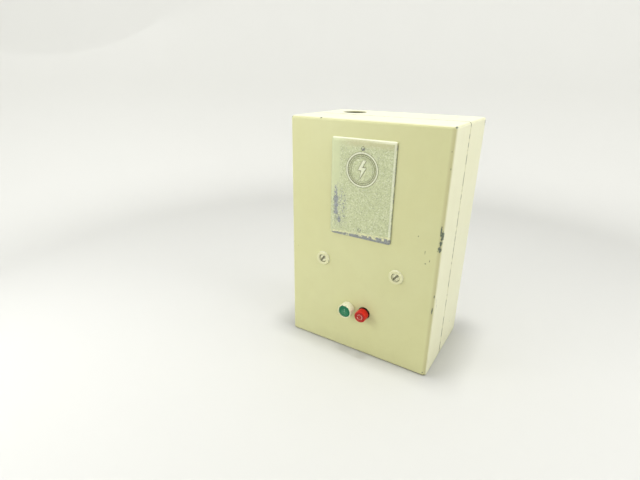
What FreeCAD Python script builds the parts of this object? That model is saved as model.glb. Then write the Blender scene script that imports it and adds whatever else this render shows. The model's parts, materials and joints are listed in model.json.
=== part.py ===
import FreeCAD, Part
import math
import os

# Magnetic motor starter in a surface-mounted sheet-steel enclosure, in millimetres.
# X points right and Z up as the cover is faced, and Y points back to the wall.
# The origin is at the bottom centre of the whole object.

os.makedirs("parts", exist_ok=True)
V = FreeCAD.Vector

# Enclosure
box_width = 220.0
box_height = 332.0
box_depth = 140.0
sheet = 1.5
bend_radius = 3.5
cover_depth = 59.0
seam_gap = 0.35
lip_length = 11.0
lip_clearance = 0.4
lip_corner = 0.6
joggle_length = 1.2

# Conduit knockouts in the top and bottom walls
knockout_radius = 17.45
knockout_x = 66.0
knockout_from_front = 99.0
knockout_slit = 0.6
knockout_tie = 5.0

# Wall mounting holes in the back
mount_spacing_x = 152.4
mount_spacing_z = 292.0
mount_hole_radius = 3.55

# Screws, as shank radius, head radius and head height
small_screw = (1.4, 2.8, 2.2)
medium_screw = (1.5, 3.0, 2.2)
block_screw = (1.75, 3.2, 2.2)
large_screw = (2.0, 3.6, 2.6)
hole_clearance = 0.05

# Nameplate and its rivets
plate_width = 89.0
plate_height = 130.0
plate_thickness = 3.0
plate_corner = 3.0
plate_round = 1.2
plate_top_margin = 22.0
plate_rivet_inset = 12.0
rivet_radius = 1.6
rivet_head_radius = 2.6
rivet_head_height = 1.1
rivet_tail = 1.0

# Captive cover screws, their collars and the posts that they thread into
screw_x = 55.8
screw_z = 137.3
collar_radius = 10.3
collar_height = 2.6
collar_taper = 0.7
collar_round = 0.8
collar_barrel_radius = 7.6
collar_bore_radius = 6.0
collar_bore_depth = 5.6
collar_floor = 1.5
collar_stake = 1.4
collar_stake_thickness = 0.8
cover_screw_radius = 2.4
cover_screw_head_radius = 5.5
cover_screw_head_sunk = 1.3
cover_screw_play = 0.5
cover_screw_lift = 0.1
cover_thread_depth = 14.0
thread_room = 2.0
post_across_flats = 9.5
post_gap = 2.0
post_window = 1.5
retainer_rim = 2.6
retainer_gap = 0.3
retainer_thickness = 0.8

# Push buttons
button_pitch = 25.4
button_z = 68.0
start_radius = 8.8
stop_radius = 8.3
start_proud = 11.5
stop_proud = 13.5
cap_round = 0.8
guard_proud = 12.0
guard_wall = 1.15
guard_clearance = 0.25
guard_round = 0.45
guard_flange = 1.2
guard_flange_rim = 1.6
stop_hole_clearance = 0.85
button_travel = 4.5
button_flange_rim = 1.7
button_flange = 2.0
button_flange_gap = 0.6
button_spring_length = 11.0
button_spring_radius = 5.2
button_spring_wire = 0.45
plunger_radius = 3.0
plunger_socket = 6.0
plunger_proud = 2.0
sliding_clearance = 0.15
bar_mark_width = 1.6
bar_mark_height = 8.0
ring_mark_radius = 4.2
ring_mark_width = 1.2
mark_depth = 0.4

# Push-button bracket and contact block behind the cover
bracket_height = 40.0
bracket_leg_inset = 8.0
bracket_foot = 10.0
bracket_margin = 2.0
block_side_wall = 8.3
block_height = 36.0
block_depth = 22.0
block_front_wall = 4.5
block_back_wall = 3.5
block_back_height = 48.0
block_screw_rise = 12.0
chamber_width = 12.0
contact_width = 7.0
contact_sheet = 1.2
contact_start = 5.0
contact_leg = 14.0
contact_tip_rise = 7.5
contact_tip_radius = 2.0
contact_tip = 0.8
contact_gap = 0.1
closed_contact_inset = 3.0
bridge_width = 8.0
bridge_height = 20.0
terminal_rise = 20.5

# Starter mounting plate on weld studs
panel_margin = 2.0
panel_thickness = 2.0
panel_standoff = 8.0
panel_bottom = 50.0
panel_top = 300.0
panel_foot = 16.0
stud_x = 36.0
stud_radius = 2.5
stud_length = 12.0
stud_hole_play = 0.3
nut_across_flats = 8.0
nut_height = 4.0

# Contactor
pole_pitch = 26.0
pole_margin = 5.0
contactor_bottom = 146.0
contactor_top = 298.0
contactor_depth = 53.25
contactor_wall = 3.0
slab_thickness = 10.25
ledge_height = 7.7
terminal_ledge = 19.0
terminal_ledge_step = 1.5
terminal_screw_drop = 8.5
pole_rib = 2.5
pole_rib_reach = 12.0
strap_width = 9.0
strap_thickness = 2.5
strap_slot_clearance = 0.2
tip_radius = 3.5
tip_thickness = 1.5
tip_offset = 14.0
bridge_half_length = 18.0
clamp_half = 4.2
clamp_thickness = 1.5
clamp_shank = 14.0

# Magnet, coil and carrier
armature_travel = 6.0
closed_gap = 0.2
core_half_width = 30.0
core_stack = 22.0
core_center_leg = 16.0
core_outer_leg = 9.0
core_bar = 10.0
armature_leg = 24.0
yoke_leg = 21.8
core_rivet_radius = 1.5
core_rivet_inset = 5.0
core_rivet_head = 2.6
core_rivet_head_height = 0.8
coil_clearance = 0.75
coil_wall = 1.5
coil_build = 9.5
coil_window_gap = 0.5
coil_height = 45.0
coil_flange = 2.0
coil_corner = 6.0
coil_shelf = 7.0
coil_shelf_height = 14.0
coil_terminal_x = 12.0
winding_inset_x = 0.8
winding_inset_y = 1.2
carrier_rail = 6.0
carrier_depth = 14.0
carrier_gap = 1.0
carrier_rest_gap = 0.3
guide_gap = 0.6
crossbar_gap = 4.0
tower_post = 2.5
tower_top = 3.0
tower_depth = 8.0
contact_spring_height = 9.5
contact_spring_radius = 3.2
contact_spring_wire = 0.4
bracket_edge = 0.5
screw_grip = 11.0

# Arc cover
arc_cover_depth = 18.0
arc_cover_wall = 3.0
arc_boss_height = 10.0
arc_boss_width = 6.0
arc_slot_width = 2.0
arc_slot_pitch = 5.0
arc_slot_low = 10.0
arc_slot_high = 16.0

# Auxiliary contact block
auxiliary_width = 18.0
auxiliary_reach = 6.0
auxiliary_arm = 3.0
auxiliary_depth = 30.0
auxiliary_below = 26.0
auxiliary_above = 2.0
auxiliary_plunger_radius = 2.0
auxiliary_plunger_length = 24.0
auxiliary_bore = 32.0
auxiliary_notch = 9.0
auxiliary_notch_depth = 4.0

# Overload relay
relay_bottom = 56.0
relay_top = 132.0
relay_depth = 43.25
relay_barrier = 18.0
relay_boss_radius = 6.0
relay_bore_depth = 24.0
relay_screw_inset = 7.0
heater_radius = 5.5
heater_screw_drop = 11.0
heater_screw_rise = 27.5
heater_offset = 9.0
heater_end_gap = 7.0
heater_ear = 1.5
heater_ear_end = 4.5
heater_screw_grip = 13.0
load_screw_rise = 9.0
load_plate_inset = 2.0
load_plate_end = 6.0
strap_end = 5.0

# Reset plunger behind the stop button
reset_gap = 0.25
reset_head_radius = 5.0
reset_head_length = 2.5
reset_reach = 18.0
reset_spring_length = 12.0
reset_spring_radius = 4.2
reset_spring_wire = 0.4
reset_clip_thickness = 0.8

# Ground terminal on the back wall
ground_x = -80.0
ground_z = 64.0
ground_width = 12.0
ground_depth = 10.0
ground_height = 18.0
ground_screw_rise = 5.0
ground_wire_radius = 2.6
ground_wire_start = 8.0
ground_screw_size = (2.0, 4.2, 3.0)

# Planes and places worked out from the sizes above
front_y = stop_proud - (box_depth + stop_proud) / 2
back_y = front_y + box_depth
cover_in = front_y + sheet
back_in = back_y - sheet
seam_y = front_y + cover_depth
half_width = box_width / 2
poles = [-pole_pitch, 0.0, pole_pitch]
sides = [-1.0, 1.0]

nameplate_z1 = box_height - plate_top_margin
nameplate_z0 = nameplate_z1 - plate_height
rivet_heights = [nameplate_z0 + plate_rivet_inset, nameplate_z1 - plate_rivet_inset]

collar_front_y = front_y - collar_height
collar_floor_y = collar_front_y + collar_bore_depth
collar_back_y = collar_floor_y + collar_floor
post_front_y = collar_back_y + post_gap

start_x = -button_pitch / 2
stop_x = button_pitch / 2
guard_bore = start_radius + guard_clearance
guard_radius = guard_bore + guard_wall
stop_hole_radius = stop_radius + stop_hole_clearance
button_flange_radius = start_radius + button_flange_rim
flange_front_y = cover_in + guard_flange + button_flange_gap
flange_back_y = flange_front_y + button_flange
web_y = flange_back_y + button_spring_length
block_half_width = stop_x + chamber_width / 2 + block_side_wall
bracket_half_width = block_half_width + bracket_margin
block_front_y = web_y + sheet
block_back_y = block_front_y + block_depth
block_wall_y = block_back_y - block_back_wall
chamber_front_y = block_front_y + block_front_wall
open_tip_y = block_wall_y - contact_sheet - contact_tip
closed_pad_y = chamber_front_y + closed_contact_inset
closed_tip_y = closed_pad_y + contact_sheet + contact_tip
block_screw_heights = [button_z - block_screw_rise, button_z + block_screw_rise]
terminal_heights = [button_z - terminal_rise, button_z + terminal_rise]
reset_head_y = block_back_y + plunger_proud + reset_gap

panel_y = back_in - panel_standoff - panel_thickness
panel_back_y = panel_y + panel_thickness
contactor_half_width = 1.5 * pole_pitch + pole_margin
panel_half_width = contactor_half_width + panel_margin
stud_heights = [panel_bottom - panel_foot / 2 - panel_thickness / 2,
                panel_top + panel_foot / 2 + panel_thickness / 2]
stud_places = [(side * stud_x, z) for side in sides for z in stud_heights]

base_front_y = panel_y - contactor_depth
base_inner = contactor_half_width - contactor_wall
slab_y = panel_y - slab_thickness
terminal_z = contactor_top - terminal_ledge
terminal_wall_y = base_front_y - terminal_ledge_step
line_screw_z = contactor_top - terminal_screw_drop
core_y = base_front_y + core_stack / 2
core_y1 = base_front_y + core_stack
carrier_x = core_half_width + carrier_gap
carrier_outer_x = carrier_x + carrier_rail
carrier_z = contactor_bottom + ledge_height + carrier_rest_gap
armature_z = carrier_z + carrier_rail
armature_top_z = armature_z + core_bar + armature_leg
yoke_leg_z = armature_top_z + armature_travel + closed_gap
yoke_bar_z = yoke_leg_z + yoke_leg
yoke_top_z = yoke_bar_z + core_bar
coil_z1 = yoke_bar_z
coil_z0 = coil_z1 - coil_height
coil_half_x = core_half_width - core_outer_leg - coil_window_gap
coil_half_y = core_stack / 2 + coil_clearance + coil_wall + coil_build
spool_half_x = core_center_leg / 2 + coil_clearance + coil_wall
spool_half_y = core_stack / 2 + coil_clearance + coil_wall
shelf_y = core_y - coil_half_y
crossbar_z = yoke_top_z + crossbar_gap
crossbar_top_z = crossbar_z + carrier_rail
bridge_z = crossbar_top_z + contact_spring_height
bridge_top_z = bridge_z + strap_thickness
moving_tip_z = bridge_top_z + tip_thickness
fixed_tip_z = moving_tip_z + armature_travel + closed_gap
fixed_strap_z = fixed_tip_z + tip_thickness
front_tip_y = core_y - tip_offset
back_tip_y = core_y + tip_offset
arc_cover_y = base_front_y - arc_cover_depth
auxiliary_x = contactor_half_width + auxiliary_reach

relay_front_y = panel_y - relay_depth
barrier_y = relay_front_y - relay_barrier
relay_plate_y = relay_front_y - strap_thickness
heater_top_z = relay_top - heater_screw_drop
heater_low_z = relay_bottom + heater_screw_rise
load_screw_z = relay_bottom + load_screw_rise
reset_clip_y = barrier_y - reset_spring_length

corner_screw_x = contactor_half_width - 7.5
arc_screw_places = [(side * (base_inner - 2.8), terminal_z - arc_boss_height / 2) for side in sides]
yoke_screw_places = [(side * (base_inner - 0.4), yoke_bar_z + core_bar / 2) for side in sides]
contactor_screw_places = [(side * corner_screw_x, z) for side in sides
                          for z in (contactor_bottom + ledge_height / 2, contactor_top - terminal_ledge / 2)]
relay_screw_places = [(side * (corner_screw_x + 2.0), z) for side in sides
                      for z in (relay_bottom + relay_screw_inset, relay_top - relay_screw_inset)]
auxiliary_screw_places = [(core_y + tower_depth + 4.0, z) for z in (yoke_bar_z - 20.0, yoke_bar_z + 3.0)]


def block(x0, x1, y0, y1, z0, z1):
    return Part.makeBox(x1 - x0, y1 - y0, z1 - z0, V(x0, y0, z0))


def around(x, width, y0, y1, z0, z1):
    # a block centred on x
    return block(x - width / 2, x + width / 2, y0, y1, z0, z1)


def rod(x, z, y0, y1, radius):
    # a cylinder along Y
    return Part.makeCylinder(radius, y1 - y0, V(x, y0, z), V(0, 1, 0))


def upright(x, y, z0, z1, radius):
    # a cylinder along Z
    return Part.makeCylinder(radius, z1 - z0, V(x, y, z0), V(0, 0, 1))


def crosswise(y, z, x0, x1, radius):
    # a cylinder along X
    return Part.makeCylinder(radius, x1 - x0, V(x0, y, z), V(1, 0, 0))


def ring(x, z, y0, y1, outer, inner):
    return rod(x, z, y0, y1, outer).cut(rod(x, z, y0, y1, inner))


def hexagon(x, z, y0, y1, across_flats):
    corner = across_flats / math.sqrt(3)
    points = []
    for step in range(7):
        angle = math.radians(60 * step + 30)
        points.append(V(x + corner * math.cos(angle), y0, z + corner * math.sin(angle)))
    return Part.Face(Part.makePolygon(points)).extrude(V(0, y1 - y0, 0))


def hole(x, z, y0, y1, screw_size):
    # a clearance hole for a screw along Y
    return rod(x, z, y0, y1, screw_size[0] + hole_clearance)


def screw(x, z, seat_y, end_y, size, slot_angle=45.0):
    # a slotted cheese-head screw along Y, its head on the seat and its shank running to end_y
    radius, head_radius, head_height = size
    way = 1.0 if end_y > seat_y else -1.0
    shank = rod(x, z, min(seat_y, end_y), max(seat_y, end_y), radius)
    top_y = seat_y - way * head_height
    head = rod(x, z, min(seat_y, top_y), max(seat_y, top_y), head_radius)
    slot_depth = head_height * 0.45
    half_slot = head_radius * 0.12
    slot = block(-head_radius, head_radius, -slot_depth, slot_depth, -half_slot, half_slot)
    slot.rotate(V(0, 0, 0), V(0, 1, 0), slot_angle)
    slot.translate(V(x, top_y, z))
    return shank.fuse(head).cut(slot).removeSplitter()


def rounded_wire(half, z0, z1, radius, y):
    # a rectangle with round corners in a plane across Y
    diagonal = radius * (1 - math.sqrt(0.5))
    corners = [(half, z0, -1, 1), (half, z1, -1, -1), (-half, z1, 1, -1), (-half, z0, 1, 1)]
    edges = []
    ends = []
    for number, (x, z, inward_x, inward_z) in enumerate(corners):
        along_x = V(x + inward_x * radius, y, z)
        along_z = V(x, y, z + inward_z * radius)
        middle = V(x + inward_x * diagonal, y, z + inward_z * diagonal)
        first, last = (along_x, along_z) if number % 2 == 0 else (along_z, along_x)
        ends.append((first, middle, last))
    for number, (first, middle, last) in enumerate(ends):
        edges.append(Part.Arc(first, middle, last).toShape())
        edges.append(Part.LineSegment(last, ends[(number + 1) % 4][0]).toShape())
    return Part.Wire(edges)


def rounded_prism(half, z0, z1, radius, y0, y1):
    return Part.Face(rounded_wire(half, z0, z1, radius, y0)).extrude(V(0, y1 - y0, 0))


def tray(inset, y_closed, y_open, radius):
    # a box outline with round side corners whose four edges at y_closed are rounded too
    solid = rounded_prism(half_width - inset, inset, box_height - inset, radius, y_closed, y_open)
    rim = [edge for edge in solid.Edges if abs(edge.BoundBox.YMin - y_closed) < 0.001
           and abs(edge.BoundBox.YMax - y_closed) < 0.001]
    return solid.makeFillet(radius - 0.01, rim)


def spring_sleeve(x, y, z, length, mean_radius, wire_radius):
    # the room that a coil spring along Y takes up, as a thin-walled sleeve
    return ring(x, z, y, y + length, mean_radius + wire_radius, mean_radius - wire_radius)


def save(name, shapes):
    # one piece, or several alike kept as separate solids
    shape = shapes[0] if len(shapes) == 1 else Part.makeCompound(shapes)
    shape.exportStep("parts/" + name + ".step")
    print(name, len(shape.Solids), shape.isValid())


# --- Enclosure -----------------------------------------------------------------------------------

def cover():
    body = tray(0.0, front_y, seam_y, bend_radius)
    body = body.cut(tray(sheet, cover_in, seam_y + 1.0, bend_radius - sheet))
    holes = [rod(side * screw_x, screw_z, front_y - 1, cover_in + 1, collar_barrel_radius) for side in sides]
    holes.append(rod(start_x, button_z, front_y - 1, cover_in + 1, guard_radius))
    holes.append(rod(stop_x, button_z, front_y - 1, cover_in + 1, stop_hole_radius))
    for z in rivet_heights:
        holes.append(rod(0, z, front_y - 1, cover_in + 1, rivet_radius))
    return body.cut(holes)


def knockout_slits(x, y, z0, z1):
    # the sheared ring of an intact knockout, with two ties left in it
    ring_cut = upright(x, y, z0, z1, knockout_radius)
    ring_cut = ring_cut.cut(upright(x, y, z0 - 1, z1 + 1, knockout_radius - knockout_slit))
    ties = block(x - knockout_radius - 1, x + knockout_radius + 1, y - knockout_tie / 2,
                 y + knockout_tie / 2, z0 - 1, z1 + 1)
    return ring_cut.cut(ties)


def back_box():
    # four walls and a back, with a joggled lip that the cover flanges slide over
    lip_half = sheet + lip_clearance
    joggle_y = seam_y + seam_gap
    full_y = joggle_y + joggle_length
    lip_y = joggle_y - lip_length
    step = 0.6 * sheet
    outer = tray(0.0, back_y, full_y, bend_radius)
    outer = outer.fuse(joggle(lip_half, 0.0, joggle_y, full_y, bend_radius - sheet, bend_radius))
    outer = outer.fuse(rounded_prism(half_width - lip_half, lip_half, box_height - lip_half,
                                     bend_radius - sheet, lip_y, joggle_y))
    inner_lip = lip_half + sheet
    inner = tray(sheet, back_in, full_y + step, bend_radius - sheet)
    inner = inner.fuse(joggle(inner_lip, sheet, joggle_y + step, full_y + step, lip_corner,
                              bend_radius - sheet))
    inner = inner.fuse(rounded_prism(half_width - inner_lip, inner_lip, box_height - inner_lip,
                                     lip_corner, lip_y - 1, joggle_y + step))
    body = outer.cut(inner)
    knockout_y = front_y + knockout_from_front
    top = (box_height - sheet - 1, box_height + 1)
    bottom = (-1.0, sheet + 1)
    cuts = [upright(-knockout_x, knockout_y, top[0], top[1], knockout_radius)]
    cuts.append(knockout_slits(knockout_x, knockout_y, top[0], top[1]))
    for side in sides:
        cuts.append(knockout_slits(side * knockout_x, knockout_y, bottom[0], bottom[1]))
        for level in sides:
            z = box_height / 2 + level * mount_spacing_z / 2
            cuts.append(rod(side * mount_spacing_x / 2, z, back_in - 1, back_y + 1, mount_hole_radius))
    return body.cut(cuts).removeSplitter()


def joggle(inset0, inset1, y0, y1, radius0, radius1):
    # the sloping step between two rounded rectangles
    first = rounded_wire(half_width - inset0, inset0, box_height - inset0, radius0, y0)
    last = rounded_wire(half_width - inset1, inset1, box_height - inset1, radius1, y1)
    return Part.makeLoft([first, last], True, True)


# --- Nameplate -----------------------------------------------------------------------------------

def nameplate():
    # a thick pressed plate with eased front edges and two rivet holes
    y0 = front_y - plate_thickness
    plate = rounded_prism(plate_width / 2, nameplate_z0, nameplate_z1, plate_corner, y0, front_y)
    rim = [edge for edge in plate.Edges if edge.BoundBox.YMax < y0 + 0.001]
    plate = plate.makeFillet(plate_round, rim)
    return plate.cut([rod(0, z, y0 - 1, front_y + 1, rivet_radius) for z in rivet_heights])


def nameplate_rivets():
    rivets = []
    seat = front_y - plate_thickness
    centre_y = seat + rivet_head_radius - rivet_head_height
    for z in rivet_heights:
        head = Part.makeSphere(rivet_head_radius, V(0, centre_y, z))
        head = head.common(rod(0, z, seat - rivet_head_height, seat, rivet_head_radius))
        tail = rod(0, z, cover_in, cover_in + rivet_tail, rivet_head_radius)
        rivets.append(rod(0, z, seat, cover_in, rivet_radius).fuse([head, tail]).removeSplitter())
    return rivets


# --- Cover screws --------------------------------------------------------------------------------

def screw_collar(side):
    # a pressed ferrule that guards a sunk screw head and is staked behind the cover
    x = side * screw_x
    foot = V(x, front_y, screw_z)
    rise = Part.makeCone(collar_radius, collar_radius - collar_taper, collar_height, foot, V(0, -1, 0))
    rim = [edge for edge in rise.Edges if edge.BoundBox.YMax < collar_front_y + 0.001]
    rise = rise.makeFillet(collar_round, rim)
    barrel = rod(x, screw_z, front_y, collar_back_y, collar_barrel_radius)
    stake_y = cover_in + collar_stake_thickness
    stake = rod(x, screw_z, cover_in, stake_y, collar_barrel_radius + collar_stake)
    bore = rod(x, screw_z, collar_front_y - 1, collar_floor_y, collar_bore_radius)
    passage = rod(x, screw_z, collar_floor_y - 1, collar_back_y + 1, cover_screw_radius + cover_screw_play)
    return rise.fuse([barrel, stake]).cut([bore, passage]).removeSplitter()


def cover_screw(side):
    seat_y = collar_floor_y - cover_screw_lift
    head_height = seat_y - collar_front_y - cover_screw_head_sunk
    size = (cover_screw_radius, cover_screw_head_radius, head_height)
    return screw(side * screw_x, screw_z, seat_y, post_front_y + cover_thread_depth, size, 40.0)


def screw_retainer(side):
    # a push-on washer that keeps the screw with the cover
    y0 = collar_back_y + retainer_gap
    outer = cover_screw_radius + retainer_rim
    return ring(side * screw_x, screw_z, y0, y0 + retainer_thickness, outer, cover_screw_radius)


def cover_post(side):
    x = side * screw_x
    post = hexagon(x, screw_z, post_front_y, back_in, post_across_flats)
    bore_end = post_front_y + cover_thread_depth + thread_room
    return post.cut(rod(x, screw_z, post_front_y - 1, bore_end, cover_screw_radius + hole_clearance))


# --- Push buttons --------------------------------------------------------------------------------

def start_guard():
    tube = ring(start_x, button_z, front_y - guard_proud, cover_in, guard_radius, guard_bore)
    flange_radius = guard_radius + guard_flange_rim
    flange = ring(start_x, button_z, cover_in, cover_in + guard_flange, flange_radius, guard_bore)
    rim = [edge for edge in tube.Edges if edge.BoundBox.YMax < front_y - guard_proud + 0.001]
    return tube.makeFillet(guard_round, rim).fuse(flange).removeSplitter()


def button_cap(x, radius, proud, mark):
    # a flanged cap with an engraved mark and a socket for its plunger
    cap = rod(x, button_z, front_y - proud, flange_front_y, radius)
    rim = [edge for edge in cap.Edges if edge.BoundBox.YMax < front_y - proud + 0.001]
    cap = cap.makeFillet(cap_round, rim)
    flange = rod(x, button_z, flange_front_y, flange_back_y, button_flange_radius)
    socket = rod(x, button_z, flange_back_y - plunger_socket, flange_back_y + 1, plunger_radius)
    return cap.fuse(flange).cut([socket, mark]).removeSplitter()


def start_button():
    face = front_y - start_proud
    half_bar = bar_mark_height / 2
    mark = around(start_x, bar_mark_width, face - 1, face + mark_depth, button_z - half_bar,
                  button_z + half_bar)
    return button_cap(start_x, start_radius, start_proud, mark)


def stop_button():
    face = front_y - stop_proud
    inner = ring_mark_radius - ring_mark_width
    mark = ring(stop_x, button_z, face - 1, face + mark_depth, ring_mark_radius, inner)
    return button_cap(stop_x, stop_radius, stop_proud, mark)


def start_plunger():
    return rod(start_x, button_z, flange_back_y - plunger_socket, block_back_y - 1.0, plunger_radius)


def stop_plunger():
    return rod(stop_x, button_z, flange_back_y - plunger_socket, block_back_y + plunger_proud, plunger_radius)


def button_spring(x):
    return spring_sleeve(x, flange_back_y, button_z, button_spring_length, button_spring_radius,
                         button_spring_wire)


def contact_bridge(x, y0):
    half = bridge_height / 2
    bar = around(x, bridge_width, y0, y0 + contact_sheet, button_z - half, button_z + half)
    return bar.cut(rod(x, button_z, y0 - 1, y0 + contact_sheet + 1, plunger_radius))


def start_bridge():
    # open contact, in front of the fixed tips
    return contact_bridge(start_x, open_tip_y - button_travel - contact_gap - contact_sheet)


def stop_bridge():
    # closed contact, just behind the fixed tips
    return contact_bridge(stop_x, closed_tip_y + contact_gap)


def button_bracket():
    # a bent strap welded inside the cover, with clearance holes for the plungers
    z0 = button_z - bracket_height / 2
    z1 = button_z + bracket_height / 2
    low = z0 + bracket_leg_inset
    high = z1 - bracket_leg_inset
    strap = block(-bracket_half_width, bracket_half_width, web_y, web_y + sheet, z0, z1)
    for side in sides:
        outer = side * bracket_half_width
        inner = side * (bracket_half_width - sheet)
        foot = side * (bracket_half_width + bracket_foot)
        strap = strap.fuse(block(min(outer, inner), max(outer, inner), cover_in, web_y, low, high))
        strap = strap.fuse(block(min(inner, foot), max(inner, foot), cover_in, cover_in + sheet, low, high))
    guide = plunger_radius + sliding_clearance
    holes = [rod(x, button_z, web_y - 1, web_y + sheet + 1, guide) for x in (start_x, stop_x)]
    holes += [hole(0, z, web_y - 1, web_y + sheet + 1, block_screw) for z in block_screw_heights]
    return strap.cut(holes).removeSplitter()


def button_block():
    # the moulded contact block: a frame with one open chamber for each button
    body = block(-block_half_width, block_half_width, block_front_y, block_back_y,
                 button_z - block_height / 2, button_z + block_height / 2)
    body = body.fuse(block(-block_half_width, block_half_width, block_wall_y, block_back_y,
                           button_z - block_back_height / 2, button_z + block_back_height / 2))
    cuts = [hole(0, z, block_front_y - 1, block_back_y + 1, block_screw) for z in block_screw_heights]
    for x in (start_x, stop_x):
        cuts.append(around(x, chamber_width, chamber_front_y, block_wall_y, 0, box_height))
        cuts.append(rod(x, button_z, block_front_y - 1, block_back_y + 1, plunger_radius + sliding_clearance))
        cuts += [hole(x, z, block_wall_y - 1, block_back_y + 1, small_screw) for z in terminal_heights]
    return body.cut(cuts).removeSplitter()


def button_block_screws():
    return [screw(0, z, block_back_y, web_y, block_screw) for z in block_screw_heights]


def button_contacts():
    # four fixed strips, each from a contact tip out to its terminal hole
    strips = []
    wall_pad_y = block_wall_y - contact_sheet
    for level in sides:
        outer = button_z + level * block_back_height / 2
        terminal = hole(0, button_z + level * terminal_rise, wall_pad_y - 1, block_wall_y + 1, small_screw)
        tip_z = button_z + level * contact_tip_rise
        start_z = button_z + level * contact_start
        leg_z = button_z + level * contact_leg
        leg_in_z = button_z + level * (contact_leg - contact_sheet)
        open_strip = around(start_x, contact_width, wall_pad_y, block_wall_y, *sorted([start_z, outer]))
        open_strip = open_strip.fuse(rod(start_x, tip_z, open_tip_y, wall_pad_y, contact_tip_radius))
        closed = around(stop_x, contact_width, closed_pad_y, closed_pad_y + contact_sheet,
                        *sorted([start_z, leg_z]))
        tip = rod(stop_x, tip_z, closed_pad_y + contact_sheet, closed_tip_y, contact_tip_radius)
        leg = around(stop_x, contact_width, closed_pad_y, block_wall_y, *sorted([leg_in_z, leg_z]))
        riser = around(stop_x, contact_width, wall_pad_y, block_wall_y, *sorted([leg_in_z, outer]))
        closed = closed.fuse([tip, leg, riser])
        strips.append(open_strip.cut(terminal.translated(V(start_x, 0, 0))).removeSplitter())
        strips.append(closed.cut(terminal.translated(V(stop_x, 0, 0))).removeSplitter())
    return strips


def button_terminal_screws():
    screws = []
    for x in (start_x, stop_x):
        for z in terminal_heights:
            screws.append(screw(x, z, block_back_y, block_wall_y - contact_sheet - 1, small_screw))
    return screws


# --- Mounting plate ------------------------------------------------------------------------------

def panel_studs():
    return [rod(x, z, back_in - stud_length, back_in, stud_radius) for x, z in stud_places]


def panel_nuts():
    y1 = back_in - panel_thickness
    nuts = []
    for x, z in stud_places:
        nut = hexagon(x, z, y1 - nut_height, y1, nut_across_flats)
        nuts.append(nut.cut(rod(x, z, y1 - nut_height - 1, y1 + 1, stud_radius)))
    return nuts


def mounting_plate():
    # a flat plate with a joggled foot at each end that stands on the back wall
    half = panel_half_width
    plate = block(-half, half, panel_y, panel_back_y, panel_bottom, panel_top)
    for edge, way in ((panel_bottom, -1), (panel_top, 1)):
        z0, z1 = sorted([edge, edge + way * panel_thickness])
        plate = plate.fuse(block(-half, half, panel_y, back_in, z0, z1))
        z0, z1 = sorted([edge, edge + way * (panel_foot + panel_thickness)])
        plate = plate.fuse(block(-half, half, back_in - panel_thickness, back_in, z0, z1))
    foot_y = back_in - panel_thickness
    cuts = [rod(x, z, foot_y - 1, back_in + 1, stud_radius + stud_hole_play) for x, z in stud_places]
    cuts += [rod(x, z, panel_y - 1, panel_back_y + 1, large_screw[0])
             for x, z in contactor_screw_places + relay_screw_places]
    post_space = post_across_flats / math.sqrt(3) + post_window
    cuts += [rod(side * screw_x, screw_z, panel_y - 1, back_in + 1, post_space) for side in sides]
    return plate.cut(cuts).removeSplitter()


# --- Contactor -----------------------------------------------------------------------------------

def contactor_base():
    # the moulded base: back slab, side walls, bottom ledge, terminal ledge, pole ribs and bosses
    half = contactor_half_width
    body = block(-half, half, slab_y, panel_y, contactor_bottom, contactor_top)
    ledge_top = contactor_bottom + ledge_height
    rib_bottom = crossbar_top_z + armature_travel + 2.0
    pieces = [block(-base_inner, base_inner, base_front_y, slab_y, contactor_bottom, ledge_top)]
    pieces.append(block(-base_inner, base_inner, terminal_wall_y, slab_y, terminal_z, contactor_top))
    pieces.append(block(-base_inner, base_inner, core_y1, slab_y - contactor_wall, yoke_bar_z, yoke_top_z))
    for side in sides:
        wall = sorted([side * base_inner, side * half])
        guide = sorted([side * (carrier_outer_x + guide_gap), side * base_inner])
        boss = sorted([side * (base_inner - arc_boss_width), side * base_inner])
        rib_x = side * pole_pitch / 2
        pieces.append(block(*wall, base_front_y, slab_y, contactor_bottom, contactor_top))
        pieces.append(block(*guide, base_front_y, slab_y, yoke_bar_z - 1, yoke_top_z + 1))
        pieces.append(block(*boss, base_front_y, slab_y, terminal_z - arc_boss_height, terminal_z))
        pieces.append(around(rib_x, pole_rib, base_front_y, slab_y, rib_bottom, terminal_z))
        pieces.append(around(rib_x, pole_rib, terminal_wall_y - pole_rib_reach, terminal_wall_y, terminal_z,
                             contactor_top))
    body = body.fuse(pieces)
    cuts = [hole(x, z, terminal_wall_y - 1, panel_y + 1, large_screw) for x, z in contactor_screw_places]
    cuts += [hole(x, z, base_front_y - 1, base_front_y + screw_grip + 1, medium_screw)
             for x, z in arc_screw_places + yoke_screw_places]
    for x in poles:
        slot_width = strap_width + 2 * strap_slot_clearance
        slot_y = slab_y - strap_thickness - strap_slot_clearance
        cuts.append(around(x, slot_width, slot_y, slab_y, contactor_bottom - 1, ledge_top + 1))
        cuts.append(hole(x, line_screw_z, terminal_wall_y - 1, terminal_wall_y + clamp_shank, large_screw))
    arm_room = auxiliary_arm + 2.0
    cuts.append(block(base_inner - 1, half + 1, core_y - arm_room, core_y + arm_room, crossbar_z - 1,
                      crossbar_top_z + armature_travel + 1))
    cuts += [crosswise(y, z, base_inner - 1, half + 1, medium_screw[0] + hole_clearance)
             for y, z in auxiliary_screw_places]
    return body.cut(cuts).removeSplitter()


def contactor_screws():
    screws = []
    for x, z in contactor_screw_places:
        seat = base_front_y if z < terminal_z else terminal_wall_y
        screws.append(screw(x, z, seat, panel_back_y, large_screw))
    return screws


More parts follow.
